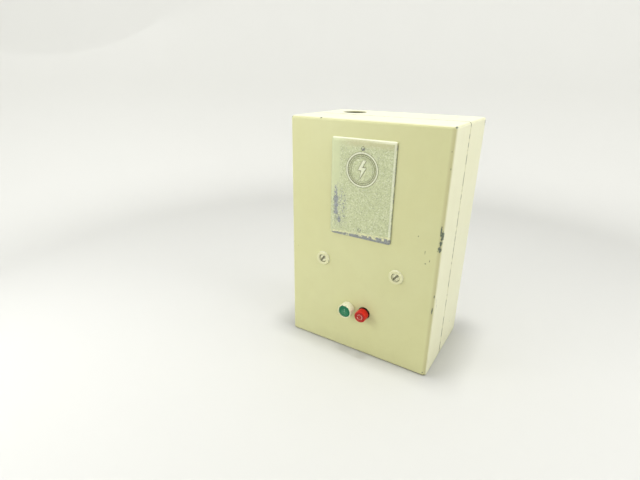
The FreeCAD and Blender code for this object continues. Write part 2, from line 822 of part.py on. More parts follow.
def line_contacts():
    # three supply straps: fixed contact, riser and terminal pad in one
    straps = []
    pad_y = terminal_wall_y - strap_thickness
    top = fixed_strap_z + strap_thickness
    for x in poles:
        strap = around(x, strap_width, front_tip_y - tip_radius - 2.5, front_tip_y + tip_radius + 1.5,
                       fixed_strap_z, top)
        strap = strap.fuse(around(x, strap_width, pad_y, terminal_wall_y, fixed_strap_z, contactor_top - 2))
        strap = strap.fuse(upright(x, front_tip_y, fixed_tip_z, fixed_strap_z, tip_radius))
        strap = strap.cut(hole(x, line_screw_z, pad_y - 1, terminal_wall_y + 1, large_screw))
        straps.append(strap.removeSplitter())
    return straps


def clamp_screw(x, z, seat_y, depth):
    # a terminal screw with its square pressure plate
    plate_y = seat_y - clamp_thickness
    plate = block(x - clamp_half, x + clamp_half, plate_y, seat_y, z - clamp_half, z + clamp_half)
    return plate.fuse(screw(x, z, plate_y, seat_y + depth, large_screw)).removeSplitter()


def line_terminal_screws():
    seat = terminal_wall_y - strap_thickness
    return [clamp_screw(x, line_screw_z, seat, clamp_shank) for x in poles]


def load_straps():
    # three straps from the rear contacts down behind the coil to the relay terminals
    straps = []
    back_y0 = slab_y - strap_thickness
    top = fixed_strap_z + strap_thickness
    relay_seat = relay_top + strap_thickness
    for x in poles:
        strap = around(x, strap_width, back_tip_y - tip_radius - 1.5, slab_y, fixed_strap_z, top)
        strap = strap.fuse(around(x, strap_width, back_y0, slab_y, relay_top, top))
        strap = strap.fuse(around(x, strap_width, relay_plate_y, slab_y, relay_top, relay_seat))
        strap = strap.fuse(around(x, strap_width, relay_plate_y, relay_front_y, heater_top_z - strap_end,
                                  relay_seat))
        strap = strap.fuse(upright(x, back_tip_y, fixed_tip_z, fixed_strap_z, tip_radius))
        strap = strap.cut(hole(x, heater_top_z, relay_plate_y - 1, relay_front_y + 1, large_screw))
        straps.append(strap.removeSplitter())
    return straps


def core_half(bar_z, leg_end_z):
    # an E-shaped laminated core, its legs running from the bar to leg_end_z
    half = core_half_width
    bar = block(-half, half, base_front_y, core_y1, bar_z, bar_z + core_bar)
    z0 = min(leg_end_z, bar_z + core_bar)
    z1 = max(leg_end_z, bar_z)
    legs = [block(-core_center_leg / 2, core_center_leg / 2, base_front_y, core_y1, z0, z1)]
    legs.append(block(-half, -half + core_outer_leg, base_front_y, core_y1, z0, z1))
    legs.append(block(half - core_outer_leg, half, base_front_y, core_y1, z0, z1))
    return bar.fuse(legs)


def core_rivet_places():
    reach = core_half_width - core_rivet_inset
    return [(x, armature_z + core_bar / 2) for x in (-reach, 0.0, reach)]


def magnet_yoke():
    return core_half(yoke_bar_z, yoke_leg_z).removeSplitter()


def armature():
    core = core_half(armature_z, armature_top_z)
    holes = [rod(x, z, base_front_y - 1, core_y1 + 1, core_rivet_radius) for x, z in core_rivet_places()]
    return core.cut(holes).removeSplitter()


def armature_rivets():
    rivets = []
    front_y0 = base_front_y - core_rivet_head_height
    back_y1 = core_y1 + core_rivet_head_height
    for x, z in core_rivet_places():
        pin = rod(x, z, front_y0, back_y1, core_rivet_radius)
        front = rod(x, z, front_y0, base_front_y, core_rivet_head)
        back = rod(x, z, core_y1, back_y1, core_rivet_head)
        rivets.append(pin.fuse([front, back]).removeSplitter())
    return rivets


def yoke_bracket():
    # a flat steel strap across the base that holds the yoke against its shelf
    strap = block(-contactor_half_width, contactor_half_width, base_front_y - sheet, base_front_y,
                  yoke_bar_z + bracket_edge, yoke_top_z - bracket_edge)
    return strap.cut([hole(x, z, base_front_y - sheet - 1, base_front_y + 1, medium_screw)
                      for x, z in yoke_screw_places])


def yoke_bracket_screws():
    seat = base_front_y - sheet
    return [screw(x, z, seat, base_front_y + screw_grip, medium_screw) for x, z in yoke_screw_places]


def coil_bore(z0, z1):
    half_x = core_center_leg / 2 + coil_clearance
    half_y = core_stack / 2 + coil_clearance
    return block(-half_x, half_x, core_y - half_y, core_y + half_y, z0, z1)


def coil_bobbin():
    # a moulded spool with two flanges and a terminal shelf on its front
    spool = block(-spool_half_x, spool_half_x, core_y - spool_half_y, core_y + spool_half_y, coil_z0, coil_z1)
    for z in (coil_z0, coil_z1 - coil_flange):
        spool = spool.fuse(block(-coil_half_x, coil_half_x, core_y - coil_half_y, core_y + coil_half_y,
                                 z, z + coil_flange))
    spool = spool.fuse(block(-coil_half_x, coil_half_x, shelf_y - coil_shelf, shelf_y,
                             coil_z1 - coil_shelf_height, coil_z1))
    spool = spool.cut(coil_bore(coil_z0 - 1, coil_z1 + 1))
    terminal_height = coil_z1 - coil_shelf_height / 2
    holes = [hole(side * coil_terminal_x, terminal_height, shelf_y - coil_shelf - 1, shelf_y - 1, small_screw)
             for side in sides]
    return spool.cut(holes).removeSplitter()


def coil_winding():
    # the wound and taped turns between the flanges
    z0 = coil_z0 + coil_flange
    z1 = coil_z1 - coil_flange
    half_x = coil_half_x - winding_inset_x
    half_y = coil_half_y - winding_inset_y
    turns = block(-half_x, half_x, core_y - half_y, core_y + half_y, z0, z1)
    corners = [edge for edge in turns.Edges if edge.BoundBox.ZLength > z1 - z0 - 0.001]
    turns = turns.makeFillet(coil_corner, corners)
    return turns.cut(block(-spool_half_x, spool_half_x, core_y - spool_half_y, core_y + spool_half_y,
                           z0 - 1, z1 + 1))


def coil_terminals():
    terminals = []
    seat = shelf_y - coil_shelf
    z = coil_z1 - coil_shelf_height / 2
    for side in sides:
        x = side * coil_terminal_x
        plate = block(x - clamp_half, x + clamp_half, seat - 1, seat, z - clamp_half, z + clamp_half)
        terminals.append(plate.fuse(screw(x, z, seat - 1, shelf_y - 1.2, small_screw)).removeSplitter())
    return terminals


def contact_carrier():
    # the moulded frame that hangs round the yoke: cradle below, rails beside, cross bar and windows above
    y0 = core_y - carrier_depth / 2
    y1 = core_y + carrier_depth / 2
    half_tower = tower_depth / 2
    frame = block(-carrier_outer_x, carrier_outer_x, y0, y1, carrier_z, crossbar_top_z)
    frame = frame.cut(block(-carrier_x, carrier_x, y0 - 1, y1 + 1, armature_z, crossbar_z))
    for x in poles:
        tower = around(x, strap_width + 2 * tower_post, core_y - half_tower, core_y + half_tower,
                       crossbar_top_z, bridge_top_z + tower_top)
        opening = around(x, strap_width, core_y - half_tower - 1, core_y + half_tower + 1,
                         crossbar_top_z, bridge_top_z)
        frame = frame.fuse(tower.cut(opening))
    arm = block(carrier_outer_x, auxiliary_x + auxiliary_arm, core_y - auxiliary_arm, core_y + auxiliary_arm,
                crossbar_z, crossbar_top_z)
    return frame.fuse(arm).removeSplitter()


def movable_contacts():
    # three bridging bars, each with a silver tip near both ends
    bridges = []
    for x in poles:
        bar = around(x, bridge_width, core_y - bridge_half_length, core_y + bridge_half_length,
                     bridge_z, bridge_top_z)
        for y in (front_tip_y, back_tip_y):
            bar = bar.fuse(upright(x, y, bridge_top_z, moving_tip_z, tip_radius))
        bridges.append(bar.removeSplitter())
    return bridges


def contact_springs():
    # one upright spring under each bridge, again as a sleeve
    sleeves = []
    for x in poles:
        outside = upright(x, core_y, crossbar_top_z, bridge_z, contact_spring_radius + contact_spring_wire)
        inside = upright(x, core_y, crossbar_top_z, bridge_z, contact_spring_radius - contact_spring_wire)
        sleeves.append(outside.cut(inside))
    return sleeves


def arc_cover():
    # a deep moulded hood over the contacts, open above for the straps and behind for the base
    half = contactor_half_width
    inner = half - arc_cover_wall
    y0 = arc_cover_y
    y_in = y0 + arc_cover_wall
    z0 = crossbar_z
    z_in = z0 + arc_cover_wall
    hood = block(-half, half, y0, base_front_y, z0, terminal_z)
    hood = hood.cut(block(-inner, inner, y_in, base_front_y + 1, z_in, terminal_z + 1))
    for side in sides:
        boss = sorted([side * (inner - arc_boss_width), side * inner])
        hood = hood.fuse(block(*boss, y_in, base_front_y, terminal_z - arc_boss_height, terminal_z))
        hood = hood.fuse(around(side * pole_pitch / 2, pole_rib, y_in, base_front_y, z_in, terminal_z))
    cuts = [hole(x, z, y0 - 1, base_front_y + 1, medium_screw) for x, z in arc_screw_places]
    for x in poles:
        cuts += [around(x + step * arc_slot_pitch, arc_slot_width, y0 - 1, y_in + 1, z0 + arc_slot_low,
                        terminal_z - arc_slot_high) for step in (-1, 0, 1)]
    return hood.cut(cuts).removeSplitter()


def arc_cover_screws():
    return [screw(x, z, arc_cover_y, base_front_y + screw_grip, medium_screw) for x, z in arc_screw_places]


def auxiliary_block():
    # a small contact block on the side of the base, with a bore for its plunger
    x0 = contactor_half_width
    x1 = x0 + auxiliary_width
    low = yoke_bar_z - auxiliary_below
    high = yoke_top_z + auxiliary_above
    body = block(x0, x1, base_front_y, base_front_y + auxiliary_depth, low, high)
    bore = auxiliary_plunger_radius + sliding_clearance
    cuts = [upright(auxiliary_x, core_y, high - auxiliary_bore, high + 1, bore)]
    cuts += [crosswise(y, z, x0 - 1, x1 + 1, medium_screw[0] + hole_clearance)
             for y, z in auxiliary_screw_places]
    for z in (low + auxiliary_notch_depth, high - auxiliary_notch - auxiliary_notch_depth):
        cuts.append(block(x0 + auxiliary_notch_depth, x1 + 1, base_front_y - 1,
                          base_front_y + auxiliary_notch_depth, z, z + auxiliary_notch))
    return body.cut(cuts).removeSplitter()


def auxiliary_screws():
    screws = []
    radius, head_radius, head_height = medium_screw
    x1 = contactor_half_width + auxiliary_width
    for y, z in auxiliary_screw_places:
        shank = crosswise(y, z, base_inner, x1, radius)
        head = crosswise(y, z, x1, x1 + head_height, head_radius)
        slot = block(x1 + head_height / 2, x1 + head_height + 1, y - head_radius, y + head_radius,
                     z - 0.12 * head_radius, z + 0.12 * head_radius)
        screws.append(shank.fuse(head).cut(slot).removeSplitter())
    return screws


def auxiliary_plunger():
    return upright(auxiliary_x, core_y, crossbar_z - auxiliary_plunger_length, crossbar_z,
                   auxiliary_plunger_radius)


# --- Overload relay ------------------------------------------------------------------------------

def overload_relay():
    # the moulded relay body with pole barriers and a boss that guides the reset plunger
    half = contactor_half_width
    body = block(-half, half, relay_front_y, panel_y, relay_bottom, relay_top)
    for side in sides:
        body = body.fuse(around(side * pole_pitch / 2, pole_rib, barrier_y, relay_front_y, relay_bottom,
                                relay_top))
    body = body.fuse(rod(stop_x, button_z, barrier_y, relay_front_y, relay_boss_radius))
    bore = plunger_radius + sliding_clearance
    cuts = [rod(stop_x, button_z, barrier_y - 1, relay_front_y + relay_bore_depth, bore)]
    cuts += [hole(x, z, relay_front_y - 1, panel_y + 1, large_screw) for x, z in relay_screw_places]
    cuts += [hole(x, z, relay_front_y - 1, relay_front_y + clamp_shank, large_screw)
             for x in poles for z in (heater_top_z, heater_low_z, load_screw_z)]
    return body.cut(cuts).removeSplitter()


def relay_screws():
    return [screw(x, z, relay_front_y, panel_back_y, large_screw) for x, z in relay_screw_places]


def load_terminals():
    plates = []
    for x in poles:
        plate = around(x, strap_width, relay_plate_y, relay_front_y, relay_bottom + load_plate_inset,
                       heater_low_z + load_plate_end)
        holes = [hole(x, z, relay_plate_y - 1, relay_front_y + 1, large_screw)
                 for z in (heater_low_z, load_screw_z)]
        plates.append(plate.cut(holes))
    return plates


def load_terminal_screws():
    return [clamp_screw(x, load_screw_z, relay_plate_y, clamp_shank) for x in poles]


def heater_elements():
    # three thermal units: a wound tube held by an ear above and below
    heaters = []
    tube_y = relay_plate_y - heater_offset
    z0 = heater_low_z + heater_end_gap
    z1 = heater_top_z - heater_end_gap
    for x in poles:
        unit = upright(x, tube_y, z0, z1, heater_radius)
        for end, way, z in ((z0, -1, heater_low_z), (z1, 1, heater_top_z)):
            link = sorted([end, end + way * heater_ear])
            reach = sorted([end, z + way * heater_ear_end])
            unit = unit.fuse(around(x, strap_width, tube_y - heater_radius + 1.5, relay_plate_y, *link))
            ear = around(x, strap_width, relay_plate_y - heater_ear, relay_plate_y, *reach)
            ear = ear.cut(hole(x, z, relay_plate_y - heater_ear - 1, relay_plate_y + 1, large_screw))
            unit = unit.fuse(ear)
        heaters.append(unit.removeSplitter())
    return heaters


def heater_screws():
    seat = relay_plate_y - heater_ear
    return [screw(x, z, seat, relay_front_y + heater_screw_grip, large_screw, 20.0)
            for x in poles for z in (heater_low_z, heater_top_z)]


def reset_plunger():
    # the rod behind the stop button that resets the relay
    shoulder_y = reset_head_y + reset_head_length
    head = rod(stop_x, button_z, reset_head_y, shoulder_y, reset_head_radius)
    shaft = rod(stop_x, button_z, shoulder_y, relay_front_y + reset_reach, plunger_radius)
    return head.fuse(shaft).removeSplitter()


def reset_clip():
    # the washer on the plunger that its spring pushes against
    y0 = reset_clip_y - reset_clip_thickness
    return ring(stop_x, button_z, y0, reset_clip_y, reset_head_radius, plunger_radius)


def reset_spring():
    return spring_sleeve(stop_x, reset_clip_y, button_z, reset_spring_length, reset_spring_radius,
                         reset_spring_wire)


# --- Ground terminal -----------------------------------------------------------------------------

def ground_lug():
    lug = around(ground_x, ground_width, back_in - ground_depth, back_in, ground_z, ground_z + ground_height)
    screw_hole = rod(ground_x, ground_z + ground_screw_rise, back_in - ground_depth - 1, back_in + 1,
                     ground_screw_size[0] + hole_clearance)
    wire_hole = upright(ground_x, back_in - ground_depth / 2, ground_z + ground_wire_start,
                        ground_z + ground_height + 1, ground_wire_radius)
    return lug.cut([screw_hole, wire_hole])


def ground_screw():
    return screw(ground_x, ground_z + ground_screw_rise, back_in - ground_depth, back_in, ground_screw_size)


single_parts = {
    "back_box": back_box, "cover": cover, "nameplate": nameplate, "start_guard": start_guard,
    "start_button": start_button, "start_plunger": start_plunger, "start_bridge": start_bridge,
    "stop_button": stop_button, "stop_plunger": stop_plunger, "stop_bridge": stop_bridge,
    "button_bracket": button_bracket, "button_block": button_block, "mounting_plate": mounting_plate,
    "contactor_base": contactor_base, "arc_cover": arc_cover, "magnet_yoke": magnet_yoke,
    "yoke_bracket": yoke_bracket, "armature": armature, "coil_bobbin": coil_bobbin,
    "coil_winding": coil_winding, "contact_carrier": contact_carrier, "auxiliary_block": auxiliary_block,
    "auxiliary_plunger": auxiliary_plunger, "overload_relay": overload_relay,
    "reset_plunger": reset_plunger, "reset_clip": reset_clip, "reset_spring": reset_spring,
    "ground_lug": ground_lug, "ground_screw": ground_screw,
}

grouped_parts = {
    "nameplate_rivets": nameplate_rivets, "button_contacts": button_contacts,
    "button_block_screws": button_block_screws, "button_terminal_screws": button_terminal_screws,
    "panel_studs": panel_studs, "panel_nuts": panel_nuts, "contactor_screws": contactor_screws,
    "line_contacts": line_contacts, "line_terminal_screws": line_terminal_screws,
    "load_straps": load_straps, "yoke_bracket_screws": yoke_bracket_screws,
    "coil_terminals": coil_terminals, "armature_rivets": armature_rivets,
    "movable_contacts": movable_contacts, "contact_springs": contact_springs,
    "arc_cover_screws": arc_cover_screws, "auxiliary_screws": auxiliary_screws,
    "relay_screws": relay_screws, "load_terminals": load_terminals,
    "load_terminal_screws": load_terminal_screws, "heater_elements": heater_elements,
    "heater_screws": heater_screws,
}

for name, make in single_parts.items():
    save(name, [make()])
for name, make in grouped_parts.items():
    save(name, make())
for side, word in ((-1.0, "left"), (1.0, "right")):
    save("screw_collar_" + word, [screw_collar(side)])
    save("cover_screw_" + word, [cover_screw(side)])
    save("screw_retainer_" + word, [screw_retainer(side)])
save("cover_posts", [cover_post(side) for side in sides])
save("start_spring", [button_spring(start_x)])
save("stop_spring", [button_spring(stop_x)])
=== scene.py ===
import bpy
import inspect
import json
import math
import numpy as np
from mathutils import Matrix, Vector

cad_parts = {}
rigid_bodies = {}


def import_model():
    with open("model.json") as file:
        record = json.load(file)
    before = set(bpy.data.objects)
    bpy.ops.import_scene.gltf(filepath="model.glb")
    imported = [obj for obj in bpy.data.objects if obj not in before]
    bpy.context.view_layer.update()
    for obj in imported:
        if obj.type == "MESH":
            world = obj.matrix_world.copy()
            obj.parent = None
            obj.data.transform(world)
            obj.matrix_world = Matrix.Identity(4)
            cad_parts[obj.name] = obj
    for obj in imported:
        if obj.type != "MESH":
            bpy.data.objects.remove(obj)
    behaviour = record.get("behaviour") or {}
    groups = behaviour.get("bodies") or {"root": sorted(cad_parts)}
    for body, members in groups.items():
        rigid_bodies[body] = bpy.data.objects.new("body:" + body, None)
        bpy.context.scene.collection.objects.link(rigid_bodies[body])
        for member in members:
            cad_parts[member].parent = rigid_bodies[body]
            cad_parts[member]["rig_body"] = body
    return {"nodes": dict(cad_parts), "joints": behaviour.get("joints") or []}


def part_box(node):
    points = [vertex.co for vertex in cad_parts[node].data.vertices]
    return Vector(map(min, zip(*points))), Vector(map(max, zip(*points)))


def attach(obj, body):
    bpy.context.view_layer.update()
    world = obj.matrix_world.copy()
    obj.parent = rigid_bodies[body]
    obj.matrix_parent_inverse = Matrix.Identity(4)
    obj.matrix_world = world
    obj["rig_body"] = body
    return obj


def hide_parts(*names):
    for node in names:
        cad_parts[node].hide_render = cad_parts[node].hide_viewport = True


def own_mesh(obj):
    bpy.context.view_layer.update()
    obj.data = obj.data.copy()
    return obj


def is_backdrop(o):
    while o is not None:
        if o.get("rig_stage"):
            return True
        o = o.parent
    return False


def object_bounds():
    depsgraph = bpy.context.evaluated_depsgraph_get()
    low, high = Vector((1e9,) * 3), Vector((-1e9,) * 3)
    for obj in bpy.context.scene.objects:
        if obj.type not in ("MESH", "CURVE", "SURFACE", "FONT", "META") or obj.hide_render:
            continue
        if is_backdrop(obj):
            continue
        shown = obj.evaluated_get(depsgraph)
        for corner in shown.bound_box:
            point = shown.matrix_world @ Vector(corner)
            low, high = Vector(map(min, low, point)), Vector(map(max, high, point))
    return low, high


# Looks of a magnetic motor starter: an almond-painted sheet-steel box with a worn nameplate and
# two push buttons, and behind its cover a contactor, its magnet and an overload relay.
# X is right, Z is up and Y runs back to the wall. Lengths are metres, and mm turns millimetres into them.

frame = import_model()
cadLow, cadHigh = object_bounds()
mm = 0.001
fullTurn = 2 * math.pi
rng = np.random.default_rng(7)
nodes = frame["nodes"]
boxLow, boxHigh = np.array(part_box("back_box"))
coverLow, coverHigh = np.array(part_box("cover"))

camera = {
    "place": (0.22634, -0.52089, 0.38014),  # from the bottom centre of the box
    "turn": -0.56261,  # radians, left of straight back
    "dip": 0.38123,
    "roll": 0.01077,
    "lens": 22.983,
    "sensor": 36.0,
}

studio = {
    "floorRadius": 1.15,
    "sweepRadius": 0.35,  # the curve from floor to wall
    "wallTop": 1.0,
    "floorColour": (0.58, 0.58, 0.562),
    "floorShade": (0.5626, 0.5626, 0.54514),
    "wallColour": (0.70, 0.70, 0.68),
    "wallStart": (0.75, 1.05),  # distance from the middle over which the floor's colour turns to the wall's
    "worldColour": (1.0, 1.0, 0.97),
    "worldStrength": 0.30,
    "aim": (0.0, 0.0, 0.16),
    "lamps": {  # place, size, power and colour
        "roofLight": ((-0.05, 0.15, 1.5), 1.7, 6.6, (1.0, 1.0, 0.98)),
        "overheadLight": ((0.0, -0.032, 1.5), 0.15, 10.0, (1.0, 1.0, 0.98)),
        "rightLight": ((1.05, 0.0, 0.70), 0.8, 8.2, (1.0, 1.0, 1.0)),
        "backLeftLight": ((-1.0, 0.1, 0.70), 0.8, 1.7, (1.0, 1.0, 1.0)),
        "frontLeftLight": ((-0.55, -0.62, 0.46), 0.5, 2.9, (1.0, 1.0, 1.0)),
    },
}


def addObject(name, data):
    # A new object in the scene that holds the data
    thing = bpy.data.objects.new(name, data)
    bpy.context.scene.collection.objects.link(thing)
    return thing


def standAt(thing, axes, place):
    # The object's own X, Y and Z become the three axes, and its origin the place
    pose = np.identity(4)
    pose[:3, :3] = np.column_stack(axes)
    pose[:3, 3] = place
    thing.matrix_world = Matrix(pose.tolist())


def placeCamera():
    # Looks along (sin turn cos dip, cos turn cos dip, -sin dip), then rolls about that line
    turn, dip, roll = camera["turn"], camera["dip"], camera["roll"]
    ahead = np.array([math.sin(turn) * math.cos(dip), math.cos(turn) * math.cos(dip), -math.sin(dip)])
    right = np.array([math.cos(turn), -math.sin(turn), 0.0])
    up = np.cross(right, ahead)
    lens = bpy.data.cameras.new("camera")
    lens.lens = camera["lens"]
    lens.sensor_width = camera["sensor"]
    lens.clip_start = 0.01
    lens.clip_end = 20.0
    holder = addObject("camera", lens)
    across = right * math.cos(roll) + up * math.sin(roll)
    standAt(holder, [across, up * math.cos(roll) - right * math.sin(roll), -ahead], camera["place"])
    bpy.context.scene.camera = holder


def addAreaLight(name, place, size, power, colour):
    # A square lamp whose back points away from the aim, so that it shines at the middle of the box
    lamp = bpy.data.lights.new(name, "AREA")
    lamp.size = size
    lamp.energy = power
    lamp.color = colour
    holder = addObject(name, lamp)
    back = np.array(place) - studio["aim"]
    back /= np.linalg.norm(back)
    across = np.cross([0.0, 1.0, 0.0], back)
    across /= np.linalg.norm(across)
    standAt(holder, [across, np.cross(back, across), back], place)
    holder.visible_camera = False


def lightStudio():
    # Even light from all round, and the lamps
    world = bpy.data.worlds.new("studioAir")
    world.use_nodes = True
    air = world.node_tree.nodes["Background"].inputs
    air["Color"].default_value = (*studio["worldColour"], 1.0)
    air["Strength"].default_value = studio["worldStrength"]
    bpy.context.scene.world = world
    bpy.context.scene.view_settings.view_transform = "Standard"
    for name, values in studio["lamps"].items():
        addAreaLight(name, *values)


placeCamera()
lightStudio()
print("camera and lights placed")


def ringQuads(count, around, closed=False):
    # The four corners of each patch between neighbouring rings, as places in the list of all points
    row, column = np.meshgrid(np.arange(count if closed else count - 1), np.arange(around), indexing="ij")
    base, over = row * around, (row + 1) % count * around
    beside = (column + 1) % around
    return np.stack([base + column, base + beside, over + beside, over + column], -1).reshape(-1, 4)


def signedVolume(points, quads):
    # A sixth of the sum of the corner products of each triangle that a quad is cut into
    a, b, c, d = (points[quads[:, k]] for k in range(4))
    return (np.einsum("ij,ij->i", a, np.cross(b, c)) + np.einsum("ij,ij->i", a, np.cross(c, d))).sum() / 6


def ringPart(rings, closed=False, flatEnds=False):
    # A tube of rings: rings[i, j] is point j of ring i, and each ring runs round into itself.
    # closed also joins the last ring to the first. Otherwise each end is shut by a fan from its middle,
    # or by one flat face where flatEnds is set. Faces are turned over where the volume comes out below 0
    count, around = rings.shape[:2]
    points = rings.reshape(-1, 3)
    quads = ringQuads(count, around, closed)
    volume = signedVolume(points - points.mean(axis=0), quads)
    base = (count - 1) * around
    ends = []
    if flatEnds:
        ends = [list(range(around))[::-1], list(range(base, base + around))]
    elif not closed:
        edge = np.arange(around)
        after = (edge + 1) % around
        ends = np.column_stack([after, edge, np.full(around, len(points))]).tolist()
        ends += np.column_stack([base + edge, base + after, np.full(around, len(points) + 1)]).tolist()
        points = np.vstack([points, rings[0].mean(axis=0), rings[-1].mean(axis=0)])
    faces = quads.tolist() + ends
    return points, faces if volume >= 0 else [face[::-1] for face in faces]


def roundedLoop(halfWide, halfHigh, corner, steps=6, straight=6):
    # Points round a rectangle with round corners: a quarter circle at each corner, and evenly
    # spaced points on each straight side
    corner = min(corner, halfWide * 0.999, halfHigh * 0.999)
    turn = np.linspace(0, math.pi / 2, steps + 1)
    arcs = []
    for quarter, (signX, signZ) in enumerate(((1, 1), (-1, 1), (-1, -1), (1, -1))):
        angle = turn + quarter * math.pi / 2
        arcs.append(np.column_stack([signX * (halfWide - corner) + corner * np.cos(angle),
                                     signZ * (halfHigh - corner) + corner * np.sin(angle)]))
    share = np.linspace(0, 1, straight + 2)[1:-1, None]
    filled = []
    for arc, following in zip(arcs, arcs[1:] + arcs[:1]):
        filled += [arc, arc[-1] + (following[0] - arc[-1]) * share]
    return np.vstack(filled)


def boxPart(low, high, bevel, steps=2):
    # A block with rounded long edges: rounded rectangles in X and Z carried from front to back,
    # drawn in by the bevel at both ends
    low, high = np.array(low, float), np.array(high, float)
    middle, half = (low + high) / 2, (high - low) / 2
    turn = np.linspace(0, math.pi / 2, steps + 1)
    drawn, back = bevel * (1 - np.sin(turn)), bevel * (1 - np.cos(turn))
    rings = []
    for inset, place in zip([*drawn, *drawn[::-1]], [*(low[1] + back), *(high[1] - back)[::-1]]):
        loop = roundedLoop(half[0] - inset, half[2] - inset, bevel, steps, 1)
        x, z = middle[0] + loop[:, 0], middle[2] + loop[:, 1]
        rings.append(np.column_stack([x, np.full(len(loop), place), z]))
    return ringPart(np.array(rings))


def tubePart(path, side, radius, around=10):
    # A round wire along a path: each ring is the path's point plus radius times
    # (cos of the angle times the side direction, plus sin of the angle times the cross direction)
    tangent = np.gradient(path, axis=0)
    tangent /= np.linalg.norm(tangent, axis=1)[:, None]
    side = side - tangent * np.einsum("ij,ij->i", side, tangent)[:, None]
    side /= np.linalg.norm(side, axis=1)[:, None]
    over = np.cross(tangent, side)
    angle = np.linspace(0, fullTurn, around, endpoint=False)[None, :, None]
    return ringPart(path[:, None] + radius * (np.cos(angle) * side[:, None] + np.sin(angle) * over[:, None]))


def turnedRings(radii, places, centre):
    # Rings about a line along Y: x is the centre plus radius times cos of the angle, z the centre plus
    # radius times sin of the angle, and y the place along the line
    angle = np.linspace(0, fullTurn, radii.shape[1], endpoint=False)
    return np.stack([centre[0] + radii * np.cos(angle), np.broadcast_to(places, radii.shape),
                     centre[1] + radii * np.sin(angle)], -1)


def turnedPart(radii, places, centre, around):
    # A turned shape: one radius and one place for each ring
    radii = np.repeat(np.array(radii)[:, None], around, 1)
    return ringPart(turnedRings(radii, np.array(places)[:, None], centre))


def makePiece(name, parts, material, nodeName, replaced=(), slotName=None, sharpAngle=38.0, values=None):
    # One object from several closed parts, at the origin, riding on the body of a CAD node
    faces, start = [], 0
    for place, sides in parts:
        faces += [[index + start for index in face] for face in sides]
        start += len(place)
    mesh = bpy.data.meshes.new(name)
    mesh.from_pydata(np.vstack([part[0] for part in parts]).tolist(), [], faces)
    mesh.shade_smooth()
    mesh.set_sharp_from_angle(angle=math.radians(sharpAngle))
    for label, numbers in (values or {}).items():
        layer = mesh.attributes.new(label, "FLOAT", "POINT")
        layer.data.foreach_set("value", np.asarray(numbers, np.float32))
    mesh.materials.append(material)
    mesh.validate()
    piece = addObject(name, mesh)
    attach(piece, nodes[nodeName]["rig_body"])
    if replaced:
        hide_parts(*replaced)
    return piece


def smoothStep(value, low, high):
    # 0 below low, 1 above high, and 3 times the square of the share less twice its cube between them
    share = np.clip((value - low) / (high - low), 0, 1)
    return share * share * (3 - 2 * share)


def solidsOf(nodeName):
    # The points of each separate solid in a CAD node. Corners at one place count as one, and every
    # corner takes the lowest label that it meets along an edge until no label changes
    mesh = nodes[nodeName].data
    corners = np.empty(len(mesh.vertices) * 3)
    mesh.vertices.foreach_get("co", corners)
    edges = np.empty(len(mesh.edges) * 2, int)
    mesh.edges.foreach_get("vertices", edges)
    microns = np.round(corners.reshape(-1, 3) / mm * 1e3).astype(int)
    places, index = np.unique(microns, axis=0, return_inverse=True)
    edges = index.ravel()[edges.reshape(-1, 2)]
    label = np.arange(len(places))
    changed = True
    while changed:
        lowest = np.minimum(label[edges[:, 0]], label[edges[:, 1]])
        fresh = label.copy()
        np.minimum.at(fresh, edges[:, 0], lowest)
        np.minimum.at(fresh, edges[:, 1], lowest)
        changed = (fresh != label).any()
        label = fresh
    return [places[label == one] * mm / 1e3 for one in np.unique(label)]


class ShaderValue:
    # A value in a node tree. Arithmetic on it adds the Math node that works it out

    def __init__(self, tree, socket):
        self.tree = tree
        self.socket = socket

    def __add__(self, other):
        return calc("ADD", self, other)

    def __radd__(self, other):
        return calc("ADD", other, self)

    def __sub__(self, other):
        return calc("SUBTRACT", self, other)

    def __rsub__(self, other):
        return calc("SUBTRACT", other, self)

    def __mul__(self, other):
        return calc("MULTIPLY", self, other)

    def __truediv__(self, other):
        return calc("DIVIDE", self, other)

    def __rtruediv__(self, other):
        return calc("DIVIDE", other, self)

    def __abs__(self):
        return calc("ABSOLUTE", self)


def addNode(tree, kind, inputs=None, **settings):
    # A shader node with its settings. Each input is linked to a value, or set to a number or colour
    node = tree.nodes.new("ShaderNode" + kind)
    for key, value in settings.items():
        setattr(node, key, value)
    for key, value in (inputs or {}).items():
        if isinstance(value, ShaderValue):
            tree.links.new(value.socket, node.inputs[key])
        else:
            node.inputs[key].default_value = value
    return node


def fromNode(tree, kind, inputs=None, output=0, **settings):
    # One output of a new node, as a value
    return ShaderValue(tree, addNode(tree, kind, inputs, **settings).outputs[output])


def calc(operation, *terms, kind="Math", output=0):
    # The result of one Math node
    tree = next(term.tree for term in terms if isinstance(term, ShaderValue))
    return fromNode(tree, kind, dict(enumerate(terms)), output, operation=operation)


def vectorCalc(operation, *terms, output=0):
    # The result of one Vector Math node
    return calc(operation, *terms, kind="VectorMath", output=output)


def xyz(vector):
    # The three parts of a vector
    split = addNode(vector.tree, "SeparateXYZ", {0: vector})
    return [ShaderValue(vector.tree, part) for part in split.outputs]


def fade(value, low, high):
    # 0 below low and 1 above high, with a smooth step between them
    sockets = {"Value": value, "From Min": low, "From Max": high}
    return fromNode(value.tree, "MapRange", sockets, interpolation_type="SMOOTHSTEP")


def below(value, low, high):
    # 1 below low and 0 above high
    return 1.0 - fade(value, low, high)


def largest(first, *others):
    # The highest of several masks, place by place
    for other in others:
        first = calc("MAXIMUM", first, other)
    return first


def noiseAt(vector, scale, detail=3.0, roughness=0.55):
    # Layered noise from 0 to 1
    sockets = {"Vector": vector, "Scale": scale, "Detail": detail, "Roughness": roughness}
    return fromNode(vector.tree, "TexNoise", sockets, "Fac")


